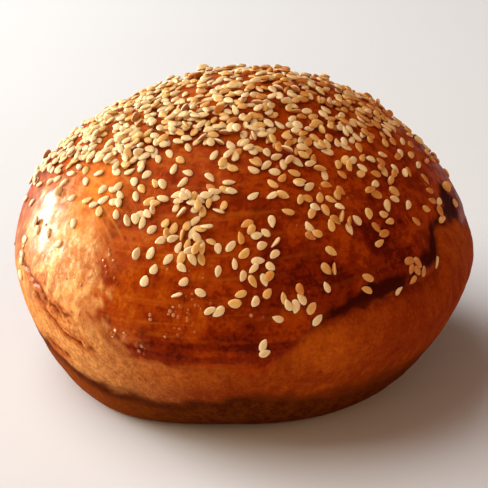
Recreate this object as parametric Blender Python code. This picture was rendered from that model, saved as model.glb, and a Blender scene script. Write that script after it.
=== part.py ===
"""A round, high bread bun with a glazed crown and sesame seeds baked onto it.

The bun is one solid: a turned body with a slightly uneven plan, a lean, two
hollows in its skin and a groove where the glazed crown meets the plain side,
with the largest seeds fused on. It rests on a flat base at Z = 0, centred on
the Z axis, and its front faces -Y. Places on the skin are given as an azimuth
in degrees, anticlockwise from +X, and an arc: the distance from the top of the
crown, down along the skin. Sizes are in metres unless a comment says otherwise.
"""

import bisect
import collections
import math
import random

import bmesh
import bpy
from mathutils import Matrix, Vector

# Turned profile of the body
HEIGHT = 0.0708
WIDEST_RADIUS = 0.0554
WIDEST_HEIGHT = 0.0279
MEAN_BASE_RADIUS = 0.0380
CROWN_POWER = 1.72
UNDERSIDE_POWER = 1.45
PROFILE_STEPS = 360

# The base's radius at each azimuth
BASE_RADII = (
    (0, 0.0370),
    (60, 0.0395),
    (150, 0.0385),
    (225, 0.0420),
    (270, 0.0352),
    (315, 0.0370),
)

# How the plan departs from a circle, as shares of the radius, and the crown's lean
OVAL_SHARE = 0.017
OVAL_AZIMUTH = 135.0
LOBE_SHARE = 0.010
LOBE_AZIMUTH = 27.0
LEAN_X = 0.0020
LEAN_Y = 0.0006

# Broad hollows in the skin, seen from a point inside the body
HEART_HEIGHT = 0.030
LUMP_FADE_HEIGHT = 0.006
Lump = collections.namedtuple("Lump", "azimuth elevation spread push")
LUMPS = (
    Lump(154.0, 66.0, 24.0, -0.0024),
    Lump(179.0, -11.4, 10.0, -0.0020),
)

# The glaze's lower edge: its height, and the depth of the groove along it
EDGE_HEIGHTS = (
    (0, 0.0355),
    (35, 0.0310),
    (90, 0.0275),
    (150, 0.0275),
    (195, 0.0260),
    (222, 0.0290),
    (249, 0.0256),
    (274, 0.0258),
    (290, 0.0340),
    (300, 0.0356),
    (324, 0.0358),
    (332, 0.0435),
    (342, 0.0415),
    (352, 0.0375),
)
GROOVE_DEPTHS = (
    (0, 0.0002),
    (180, 0.0002),
    (270, 0.0002),
    (288, 0.0005),
    (306, 0.0010),
    (328, 0.0010),
    (343, 0.0003),
)
GROOVE_HALF_WIDTH = 0.0014
SWELL_SHARE = 0.5
SWELL_BELOW_EDGE = 0.0075
SWELL_SPREAD = 0.0045

# Facets of the body
COLUMNS = 60
CROWN_ROWS = 12
GROOVE_ROW_OFFSETS = (-0.0030, -0.0012, 0.0, 0.0012, 0.0034)
SIDE_ROWS = 6

# Seeds: a drift is a patch of them, with its middle, its spread in mm and its count
Drift = collections.namedtuple("Drift", "azimuth arc spread count")
FRONT_DRIFTS = (
    Drift(196, 0.0045, 6.0, 23),
    Drift(237, 0.0200, 5.5, 34),
    Drift(182, 0.0250, 6.0, 38),
    Drift(343, 0.0170, 6.0, 26),
    Drift(347, 0.0325, 5.5, 22),
    Drift(290, 0.0175, 5.5, 22),
    Drift(278, 0.0270, 4.5, 18),
    Drift(319, 0.0295, 5.5, 14),
    Drift(298, 0.0350, 4.5, 8),
    Drift(186, 0.0420, 6.0, 28),
    Drift(184, 0.0485, 5.0, 11),
    Drift(176, 0.0590, 3.0, 6),
    Drift(217, 0.0370, 5.0, 26),
    Drift(236, 0.0465, 4.5, 19),
    Drift(259, 0.0400, 3.2, 12),
    Drift(255, 0.0485, 4.0, 14),
    Drift(256, 0.0545, 3.5, 9),
    Drift(274, 0.0525, 4.5, 17),
    Drift(295, 0.0435, 4.5, 14),
    Drift(295, 0.0533, 3.5, 6),
    Drift(316, 0.0480, 6.0, 13),
)
BACK_DRIFTS = (
    Drift(60, 0.0095, 5.0, 14),
    Drift(15, 0.0240, 7.0, 24),
    Drift(60, 0.0260, 7.0, 28),
    Drift(100, 0.0240, 7.0, 28),
    Drift(140, 0.0260, 7.0, 26),
    Drift(10, 0.0440, 7.0, 18),
    Drift(45, 0.0470, 8.0, 24),
    Drift(90, 0.0450, 8.0, 28),
    Drift(128, 0.0440, 8.0, 28),
    Drift(158, 0.0500, 6.0, 20),
)
EDGE_DRIFTS = (
    Drift(201, 0.0736, 1.5, 2),
    Drift(199, 0.0685, 1.5, 2),
    Drift(199, 0.0614, 2.0, 3),
    Drift(211, 0.0594, 2.0, 2),
    Drift(247, 0.0600, 0.8, 2),
    Drift(247, 0.0550, 1.2, 2),
    Drift(256, 0.0605, 0.2, 1),
    Drift(263, 0.0642, 1.6, 3),
    Drift(268, 0.0620, 1.2, 2),
    Drift(276, 0.0610, 1.6, 4),
    Drift(280, 0.0650, 1.6, 4),
    Drift(276, 0.0726, 1.4, 2),
    Drift(286, 0.0663, 1.6, 2),
    Drift(284, 0.0615, 1.2, 2),
    Drift(291, 0.0615, 0.3, 1),
    Drift(300, 0.0640, 1.6, 2),
    Drift(310, 0.0663, 0.3, 1),
    Drift(317, 0.0640, 2.2, 6),
    Drift(326, 0.0650, 0.3, 1),
    Drift(335, 0.0530, 3.5, 4),
)
SCATTERED_SEEDS = 110
SCATTER_ARC = 0.062
BARE_PATCHES = (
    Drift(252, 0.0310, 4.5, 0),
    Drift(268, 0.0370, 4.0, 0),
    Drift(302, 0.0400, 4.0, 0),
    Drift(227, 0.0610, 11.0, 0),
    Drift(239, 0.0560, 7.0, 0),
)
SEED_DRAW = 41
SEED_GAP = 0.0014
LOOSE_SEED_GAP = 0.0024
EDGE_MARGIN = 0.0030
TRIES_PER_SEED = 40

# One seed: length, width and thickness, least and most
SEED_LENGTHS = (0.0026, 0.0034)
SEED_WIDTHS = (0.00175, 0.00215)
SEED_THICKNESSES = (0.00075, 0.00095)
SEED_LEANS = (-14.0, 14.0)

# Seeds fused to the solid
FUSED_SEEDS = 250
FUSED_GAP = 0.0030
FUSED_LEAN_SHARE = 0.3
SEED_SIDES = 7
SEED_TAPER = 0.30
SEED_FOOT_SHARE = 1.12
SEED_TOP_SHARE = 0.62
SEED_SUNK = 0.0003
SEED_RISE = 0.74
SEED_ROOT = 0.0011

CRUST_COLOR = (0.42, 0.115, 0.022, 1.0)
CRUST_ROUGHNESS = 0.32
SESAME_COLOR = (0.72, 0.47, 0.20, 1.0)
SESAME_ROUGHNESS = 0.55

Seed = collections.namedtuple("Seed", "azimuth arc turn lean length width thickness at_edge")


def clear_scene():
    """Removes every object of the startup scene."""
    for obj in list(bpy.data.objects):
        bpy.data.objects.remove(obj, do_unlink=True)


def make_material(name, color, roughness):
    """Returns a plain Principled material."""
    material = bpy.data.materials.new(name)
    material.use_nodes = True
    shader = material.node_tree.nodes["Principled BSDF"]
    shader.inputs["Base Color"].default_value = color
    shader.inputs["Roughness"].default_value = roughness
    shader.inputs["Metallic"].default_value = 0.0
    material.diffuse_color = color
    return material


def ease(low, high, value):
    """Returns 0 below low, 1 above high and a smooth rise between them."""
    part = min(max((value - low) / (high - low), 0.0), 1.0)
    return part * part * (3.0 - 2.0 * part)


def round_the_bun(table, azimuth):
    """Returns a table's value at an azimuth, eased from row to row all the way round."""
    azimuth = azimuth % 360.0
    first_azimuth, first_value = table[0]
    rows = list(table) + [(first_azimuth + 360.0, first_value)]
    for (start, low), (end, high) in zip(rows, rows[1:]):
        if start <= azimuth <= end:
            return low + (high - low) * ease(start, end, azimuth)
    return first_value


def profile_at(angle, base_radius):
    """Returns the radius and height of the profile, from the top at 90 to the base at -90."""
    across = max(math.cos(angle), 0.0)
    up = abs(math.sin(angle))
    if angle >= 0.0:
        radius = WIDEST_RADIUS * across ** (2.0 / CROWN_POWER)
        rise = (HEIGHT - WIDEST_HEIGHT) * up ** (2.0 / CROWN_POWER)
        return radius, WIDEST_HEIGHT + rise
    reach = (WIDEST_RADIUS - base_radius) * across ** (2.0 / UNDERSIDE_POWER)
    return base_radius + reach, WIDEST_HEIGHT * (1.0 - up ** (2.0 / UNDERSIDE_POWER))


def measure_profile():
    """Returns the profile's angles and the arc from the top to each of them."""
    angles = [math.pi / 2 - math.pi * step / PROFILE_STEPS for step in range(PROFILE_STEPS + 1)]
    arcs = [0.0]
    last = profile_at(angles[0], MEAN_BASE_RADIUS)
    for angle in angles[1:]:
        here = profile_at(angle, MEAN_BASE_RADIUS)
        arcs.append(arcs[-1] + math.dist(here, last))
        last = here
    return angles, arcs


ANGLES, ARCS = measure_profile()


def angle_at_arc(arc):
    """Returns the profile angle at an arc from the top."""
    above = min(max(bisect.bisect_left(ARCS, arc), 1), PROFILE_STEPS)
    part = (arc - ARCS[above - 1]) / (ARCS[above] - ARCS[above - 1])
    return ANGLES[above - 1] + (ANGLES[above] - ANGLES[above - 1]) * part


def arc_at_height(height):
    """Returns the arc at which the profile comes down to a height."""
    for angle, arc in zip(ANGLES, ARCS):
        if profile_at(angle, MEAN_BASE_RADIUS)[1] <= height:
            return arc
    return ARCS[-1]


def edge_arc(azimuth):
    """Returns the arc of the glaze's lower edge."""
    return arc_at_height(round_the_bun(EDGE_HEIGHTS, azimuth))


def lump_push(outward):
    """Returns how far the broad hollows move the skin along outward."""
    push = 0.0
    for lump in LUMPS:
        level = math.cos(math.radians(lump.elevation))
        middle = Vector(
            (
                level * math.cos(math.radians(lump.azimuth)),
                level * math.sin(math.radians(lump.azimuth)),
                math.sin(math.radians(lump.elevation)),
            )
        )
        away = math.degrees(outward.angle(middle))
        push += lump.push * math.exp(-0.5 * (away / lump.spread) ** 2)
    return push


def groove_push(azimuth, arc):
    """Returns the groove along the glaze's edge and the swell of the plain side under it."""
    depth = round_the_bun(GROOVE_DEPTHS, azimuth)
    below = arc - edge_arc(azimuth)
    groove = -depth * math.exp(-0.5 * (below / GROOVE_HALF_WIDTH) ** 2)
    from_swell = (below - SWELL_BELOW_EDGE) / SWELL_SPREAD
    return groove + SWELL_SHARE * depth * math.exp(-0.5 * from_swell**2)


def skin_point(azimuth, arc):
    """Returns the point of the skin at an azimuth and an arc."""
    radius, height = profile_at(angle_at_arc(arc), round_the_bun(BASE_RADII, azimuth))
    oval = OVAL_SHARE * math.cos(2.0 * math.radians(azimuth - OVAL_AZIMUTH))
    lobes = LOBE_SHARE * math.cos(3.0 * math.radians(azimuth - LOBE_AZIMUTH))
    reach = radius * (1.0 + oval + lobes)
    turn = math.radians(azimuth)
    plain = Vector(
        (
            reach * math.cos(turn) + LEAN_X * height / HEIGHT,
            reach * math.sin(turn) + LEAN_Y * height / HEIGHT,
            height,
        )
    )
    outward = (plain - Vector((0.0, 0.0, HEART_HEIGHT))).normalized()
    push = lump_push(outward) + groove_push(azimuth, arc)
    return plain + outward * push * ease(0.0, LUMP_FADE_HEIGHT, height)


def skin_frame(azimuth, arc):
    """Returns a point of the skin, the normal there and the direction down the slope."""
    step = 0.0006
    arc = max(arc, 2 * step)
    turn_step = 1.0
    point = skin_point(azimuth, arc)
    down = (skin_point(azimuth, arc + step) - skin_point(azimuth, arc - step)).normalized()
    along = skin_point(azimuth + turn_step, arc) - skin_point(azimuth - turn_step, arc)
    normal = down.cross(along).normalized()
    return point, normal, down


def body_rows(azimuth):
    """Returns the arcs of the body's rows at one azimuth, with five of them along the groove."""
    edge = edge_arc(azimuth)
    first = edge + GROOVE_ROW_OFFSETS[0]
    last = edge + GROOVE_ROW_OFFSETS[-1]
    rows = [first * row / CROWN_ROWS for row in range(1, CROWN_ROWS)]
    rows += [edge + offset for offset in GROOVE_ROW_OFFSETS]
    rows += [last + (ARCS[-1] - last) * row / SIDE_ROWS for row in range(1, SIDE_ROWS + 1)]
    return rows


def make_body(material):
    """Returns the bun's bare body, closed by a flat base."""
    mesh_builder = bmesh.new()
    top = mesh_builder.verts.new(skin_point(0.0, 0.0))
    columns = []
    for column in range(COLUMNS):
        azimuth = 360.0 * column / COLUMNS
        points = [skin_point(azimuth, arc) for arc in body_rows(azimuth)]
        points[-1].z = 0.0
        columns.append([mesh_builder.verts.new(point) for point in points])
    for left, right in zip(columns, columns[1:] + columns[:1]):
        mesh_builder.faces.new((top, left[0], right[0]))
        for row in range(len(left) - 1):
            mesh_builder.faces.new((left[row], left[row + 1], right[row + 1], right[row]))
    mesh_builder.faces.new([column[-1] for column in reversed(columns)])
    bmesh.ops.triangulate(mesh_builder, faces=mesh_builder.faces[:])
    mesh = bpy.data.meshes.new("bun")
    mesh_builder.to_mesh(mesh)
    mesh_builder.free()
    mesh.materials.append(material)
    body = bpy.data.objects.new("bun", mesh)
    bpy.context.scene.collection.objects.link(body)
    return body


def chart(azimuth, arc):
    """Returns a place on the skin as a flat X and Y, with arcs kept true from the top."""
    turn = math.radians(azimuth)
    return arc * math.cos(turn), arc * math.sin(turn)


def is_clear(spots, x, y, gap):
    """Says whether no chosen spot lies within the gap of a place."""
    return all((x - spot[0]) ** 2 + (y - spot[1]) ** 2 >= gap * gap for spot in spots)


def is_bare(x, y):
    """Says whether a place lies in one of the crown's bare patches."""
    for patch in BARE_PATCHES:
        middle = chart(patch.azimuth, patch.arc)
        if math.dist(middle, (x, y)) < patch.spread / 1000.0:
            return True
    return False


def draw_drift(rng, spots, drift, margin):
    """Adds a drift's spots, thickest at its middle."""
    middle = chart(drift.azimuth, drift.arc)
    spread = drift.spread / 1000.0
    laid = 0
    for _ in range(drift.count * TRIES_PER_SEED):
        x = rng.gauss(middle[0], spread)
        y = rng.gauss(middle[1], spread)
        azimuth = math.degrees(math.atan2(y, x))
        on_crown = math.hypot(x, y) < edge_arc(azimuth) - margin
        if laid < drift.count and on_crown and is_clear(spots, x, y, SEED_GAP):
            spots.append((x, y, margin == 0.0))
            laid += 1


def draw_scatter(rng, spots):
    """Adds single spots all over the crown outside its bare patches."""
    laid = 0
    while laid < SCATTERED_SEEDS:
        x = rng.uniform(-SCATTER_ARC, SCATTER_ARC)
        y = rng.uniform(-SCATTER_ARC, SCATTER_ARC)
        on_crown = math.hypot(x, y) < SCATTER_ARC * math.sqrt(rng.uniform(0.3, 1.0))
        if on_crown and not is_bare(x, y) and is_clear(spots, x, y, LOOSE_SEED_GAP):
            spots.append((x, y, False))
            laid += 1


def lay_seeds():
    """Returns every seed, those along the glaze's edge first and then from the longest down."""
    rng = random.Random(SEED_DRAW)
    spots = []
    for drift in EDGE_DRIFTS:
        draw_drift(rng, spots, drift, 0.0)
    for drift in FRONT_DRIFTS + BACK_DRIFTS:
        draw_drift(rng, spots, drift, EDGE_MARGIN)
    draw_scatter(rng, spots)
    seeds = []
    for x, y, at_edge in spots:
        seeds.append(
            Seed(
                azimuth=math.degrees(math.atan2(y, x)) % 360.0,
                arc=math.hypot(x, y),
                turn=rng.uniform(0.0, 360.0),
                lean=rng.uniform(*SEED_LEANS),
                length=rng.uniform(*SEED_LENGTHS),
                width=rng.uniform(*SEED_WIDTHS),
                thickness=rng.uniform(*SEED_THICKNESSES),
                at_edge=at_edge,
            )
        )
    return sorted(seeds, key=lambda seed: (not seed.at_edge, -seed.length))


def pick_fused(seeds):
    """Returns the seeds that the solid carries: the longest, spaced so that few of them touch."""
    picked = []
    spots = []
    for seed in seeds:
        x, y = chart(seed.azimuth, seed.arc)
        if len(picked) < FUSED_SEEDS and is_clear(spots, x, y, FUSED_GAP):
            picked.append(seed)
            spots.append((x, y))
    return picked


def seed_ring(seed, share, height):
    """Returns a ring of a seed's teardrop outline, scaled by share, at a height over its middle."""
    ring = []
    for side in range(SEED_SIDES):
        turn = 2.0 * math.pi * side / SEED_SIDES
        narrowing = 1.0 - SEED_TAPER * math.cos(turn)
        x = 0.5 * seed.length * share * math.cos(turn)
        y = 0.5 * seed.width * share * math.sin(turn) * narrowing
        ring.append(Vector((x, y, height)))
    return ring


def make_seed(seed, name, collection, material):
    """Adds one seed: a low teardrop dome whose root is buried in the skin."""
    point, normal, down = skin_frame(seed.azimuth, seed.arc)
    across = normal.cross(down)
    facing = Matrix((down, across, normal)).transposed().to_4x4()
    turned = facing @ Matrix.Rotation(math.radians(seed.turn), 4, "Z")
    lean = math.radians(FUSED_LEAN_SHARE * seed.lean)
    leaned = turned @ Matrix.Rotation(lean, 4, "X")
    mesh_builder = bmesh.new()
    rise = SEED_RISE * seed.thickness
    outline = [mesh_builder.verts.new(p) for p in seed_ring(seed, SEED_FOOT_SHARE, -SEED_SUNK)]
    crest = [mesh_builder.verts.new(p) for p in seed_ring(seed, SEED_TOP_SHARE, rise)]
    root = mesh_builder.verts.new((0.0, 0.0, -SEED_ROOT))
    for side in range(SEED_SIDES):
        after = (side + 1) % SEED_SIDES
        mesh_builder.faces.new((outline[side], outline[after], crest[after], crest[side]))
        mesh_builder.faces.new((outline[after], outline[side], root))
    mesh_builder.faces.new(crest)
    mesh_builder.transform(Matrix.Translation(point) @ leaned)
    bmesh.ops.recalc_face_normals(mesh_builder, faces=mesh_builder.faces[:])
    mesh = bpy.data.meshes.new(name)
    mesh_builder.to_mesh(mesh)
    mesh_builder.free()
    mesh.materials.append(material)
    collection.objects.link(bpy.data.objects.new(name, mesh))


def remove_collection(collection):
    """Removes a collection and everything in it."""
    for obj in list(collection.objects):
        bpy.data.objects.remove(obj, do_unlink=True)
    bpy.data.collections.remove(collection)


def fuse_seeds(body, collection):
    """Joins the seeds to the body with one union, applied."""
    union = body.modifiers.new("seeds", "BOOLEAN")
    union.operation = "UNION"
    union.operand_type = "COLLECTION"
    union.collection = collection
    union.solver = "EXACT"
    union.use_self = True
    union.material_mode = "TRANSFER"
    bpy.context.view_layer.update()
    graph = bpy.context.evaluated_depsgraph_get()
    fused = bpy.data.meshes.new_from_object(body.evaluated_get(graph))
    body.modifiers.clear()
    body.data = fused
    fused.name = "bun"


def shell_volume(shell):
    """Returns the signed volume inside a closed set of triangles."""
    total = 0.0
    for face in shell:
        a, b, c = (vertex.co for vertex in face.verts)
        total += a.dot(b.cross(c)) / 6.0
    return total


def keep_one_shell(body):
    """Fills sealed hollows and drops loose scraps, leaving the largest closed shell."""
    mesh_builder = bmesh.new()
    mesh_builder.from_mesh(body.data)
    bmesh.ops.triangulate(mesh_builder, faces=mesh_builder.faces[:])
    unseen = set(mesh_builder.faces)
    shells = []
    while unseen:
        shell = {unseen.pop()}
        front = list(shell)
        while front:
            face = front.pop()
            for edge in face.edges:
                for near in edge.link_faces:
                    if near in unseen:
                        unseen.remove(near)
                        shell.add(near)
                        front.append(near)
        shells.append(shell)
    largest = max(shells, key=shell_volume)
    spare = [face for shell in shells if shell is not largest for face in shell]
    bmesh.ops.delete(mesh_builder, geom=spare, context="FACES")
    lone = [vertex for vertex in mesh_builder.verts if not vertex.link_faces]
    bmesh.ops.delete(mesh_builder, geom=lone, context="VERTS")
    mesh_builder.to_mesh(body.data)
    mesh_builder.free()


def main():
    """Builds the bun."""
    clear_scene()
    crust = make_material("crust", CRUST_COLOR, CRUST_ROUGHNESS)
    sesame = make_material("sesame", SESAME_COLOR, SESAME_ROUGHNESS)
    body = make_body(crust)
    seeds = bpy.data.collections.new("seeds")
    bpy.context.scene.collection.children.link(seeds)
    for number, seed in enumerate(pick_fused(lay_seeds())):
        make_seed(seed, f"seed_{number:03d}", seeds, sesame)
    fuse_seeds(body, seeds)
    remove_collection(seeds)
    keep_one_shell(body)
    body.data.shade_smooth()
    body.data.set_sharp_from_angle(angle=math.radians(35.0))


main()
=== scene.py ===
"""Looks of a round, high bread bun: a glazed and mottled crown strewn with sesame
seeds, a dull lower side with stretch marks, and a dark under-curve.

The crust and the seeds are made on the same skin as the bun's solid, and they
replace it. A place on the skin is an azimuth in degrees, anticlockwise from +X, and
an arc: the distance from the top of the crown, down along the skin. The photo's side
of the bun faces -Y. Sizes are in metres unless a comment says otherwise.
"""

import logging
import math
import random
from dataclasses import dataclass
from enum import Enum
from typing import NamedTuple

import bpy
import numpy as np
from mathutils import Matrix, Vector, noise


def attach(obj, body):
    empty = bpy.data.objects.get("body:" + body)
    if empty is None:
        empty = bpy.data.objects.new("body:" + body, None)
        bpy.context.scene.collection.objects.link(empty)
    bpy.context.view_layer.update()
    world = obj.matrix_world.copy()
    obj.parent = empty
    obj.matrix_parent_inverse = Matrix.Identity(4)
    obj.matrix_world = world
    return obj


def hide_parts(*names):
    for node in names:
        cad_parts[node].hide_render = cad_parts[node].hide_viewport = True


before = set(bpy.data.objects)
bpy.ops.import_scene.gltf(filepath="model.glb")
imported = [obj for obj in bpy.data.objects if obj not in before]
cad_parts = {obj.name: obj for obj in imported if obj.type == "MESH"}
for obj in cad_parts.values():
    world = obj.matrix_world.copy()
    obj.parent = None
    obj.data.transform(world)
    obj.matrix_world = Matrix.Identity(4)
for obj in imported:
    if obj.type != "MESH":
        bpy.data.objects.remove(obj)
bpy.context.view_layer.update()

log = logging.getLogger("bun")

MM = 0.001

Color = tuple[float, float, float, float]
Span = tuple[float, float]
Table = tuple[Span, ...]
Faces = list[tuple[int, ...]]
Masks = dict[str, np.ndarray]
Spot = tuple[float, float, bool]
Socket = bpy.types.NodeSocket
Value = bpy.types.NodeSocket | float | tuple[float, ...] | str
Parts = tuple[tuple[Value, float], ...]


class Drift(NamedTuple):
    """A patch of seeds or blisters: its middle, its spread in mm and its count."""

    azimuth: float
    arc: float
    spread: float
    count: int

    @property
    def middle(self) -> Span:
        """The patch's middle, on the crown laid out flat."""
        turn = math.radians(self.azimuth)
        return self.arc * math.cos(turn), self.arc * math.sin(turn)

    def draw(self, rng: random.Random) -> Span:
        """Draws a place in the patch, on the crown laid out flat."""
        x, y = self.middle
        return rng.gauss(x, self.spread * MM), rng.gauss(y, self.spread * MM)


class Lump(NamedTuple):
    """A broad hollow or swelling, seen from inside the bun, with its spread in degrees."""

    azimuth: float
    elevation: float
    spread: float
    push: float


class Seed(NamedTuple):
    """One seed's place on the skin, its turn and lean in degrees, and its size."""

    azimuth: float
    arc: float
    turn: float
    lean: float
    length: float
    width: float
    thickness: float
    at_edge: bool


class Patch(NamedTuple):
    """A soft spot on the skin, with its half-sizes round the bun and down the slope."""

    azimuth: float
    arc: float
    around: float
    down: float
    strength: float


class Places(NamedTuple):
    """Places on the skin: their azimuths in degrees, their arcs and their points."""

    azimuths: np.ndarray
    arcs: np.ndarray
    points: np.ndarray


class Stain(NamedTuple):
    """A mask made of soft patches, and how far raggedness scales it and adds to it."""

    name: str
    scaled: float
    added: float
    patches: tuple[Patch, ...]


class SkinLine(NamedTuple):
    """A line along the skin: where it runs, its depth or strength, and its half-width."""

    azimuths: tuple[float, ...]
    arcs: tuple[float, ...]
    strength: float
    half_width: float


class Cloud(NamedTuple):
    """Soft noise: how far apart its lumps are, its draw and its count of finer layers."""

    size: float
    draw: float
    octaves: int = 2

    def at(self, points: np.ndarray) -> np.ndarray:
        """Returns the noise at points in space.

        Args:
            points: an N by 3 array of places.

        Returns:
            One value a point, about -1 to 1.
        """
        # Each draw shifts the noise. A finer layer is half as big and half as strong.
        shift = Vector((self.draw, 1.7 * self.draw, -self.draw))
        scaled = points / self.size
        return np.array([noise.fractal(Vector(p) + shift, 1.0, 2.0, self.octaves) for p in scaled])


class SeedKind(Enum):
    """How far a seed has baked."""

    PALE = "pale_seed"
    GOLDEN = "golden_seed"
    TOASTED = "toasted_seed"


def ease(low: float, high: float, value: np.ndarray) -> np.ndarray:
    """Returns 0 below low, 1 above high and a smooth rise between them."""
    part = held((value - low) / (high - low))
    return part * part * (3.0 - 2.0 * part)


def held(values: np.ndarray) -> np.ndarray:
    """Returns values held between 0 and 1."""
    return np.clip(values, 0.0, 1.0)


def bell(distance: np.ndarray, half_width: float) -> np.ndarray:
    """Returns a bell curve, 1 in the middle and about 0.6 at the half-width."""
    return np.exp(-0.5 * (distance / half_width) ** 2)


def turned_from(middle: float, azimuths: np.ndarray) -> np.ndarray:
    """Returns how far azimuths are turned from a middle one, from -180 to 180 degrees."""
    return (azimuths - middle + 180.0) % 360.0 - 180.0


def place_on_skin(x: float, y: float) -> Span:
    """Returns the azimuth and the arc of a place on the crown laid out flat."""
    return math.degrees(math.atan2(y, x)) % 360.0, math.hypot(x, y)


def round_the_bun(table: Table, azimuths: np.ndarray) -> np.ndarray:
    """Reads a table of azimuths and values all the way round.

    Args:
        table: rows of an azimuth in degrees and a value, starting at azimuth 0.
        azimuths: the azimuths to read it at.

    Returns:
        The values, eased from row to row.
    """
    starts = np.array([row[0] for row in table] + [table[0][0] + 360.0])
    values = np.array([row[1] for row in table] + [table[0][1]])
    turned = np.mod(azimuths, 360.0)
    index = np.clip(np.searchsorted(starts, turned, side="right") - 1, 0, len(table) - 1)
    part = (turned - starts[index]) / (starts[index + 1] - starts[index])
    return values[index] + (values[index + 1] - values[index]) * ease(0.0, 1.0, part)


def way_to(azimuth: float, elevation: float) -> tuple[float, float, float]:
    """Returns the direction of an azimuth and an elevation, both in degrees."""
    turn, rise = math.radians(azimuth), math.radians(elevation)
    return math.cos(rise) * math.cos(turn), math.cos(rise) * math.sin(turn), math.sin(rise)


def ring_faces(first: int, sides: int, rings: int, upward: bool = True) -> Faces:
    """Returns the four-sided faces between rings of points.

    Args:
        first: the index of the first ring's first point.
        sides: how many points a ring has.
        rings: how many rings follow each other.
        upward: whether each ring lies above the one before it, and not below.

    Returns:
        The faces, which look outward.
    """
    faces = []
    for low in range(first, first + (rings - 1) * sides, sides):
        high = low + sides
        for side in range(sides):
            after = (side + 1) % sides
            ways = (low + after, high + after, high + side)
            faces.append((low + side, *(ways if upward else reversed(ways))))
    return faces


def fan_faces(ring: int, sides: int, point: int, upward: bool = True) -> Faces:
    """Returns the three-sided faces between a ring of points and one more point.

    Args:
        ring: the index of the ring's first point.
        sides: how many points the ring has.
        point: the index of the point in its middle.
        upward: whether the faces look up, and not down.

    Returns:
        The faces.
    """
    faces = []
    for side in range(sides):
        ends = (ring + side, ring + (side + 1) % sides)
        faces.append((*(ends if upward else reversed(ends)), point))
    return faces


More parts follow.
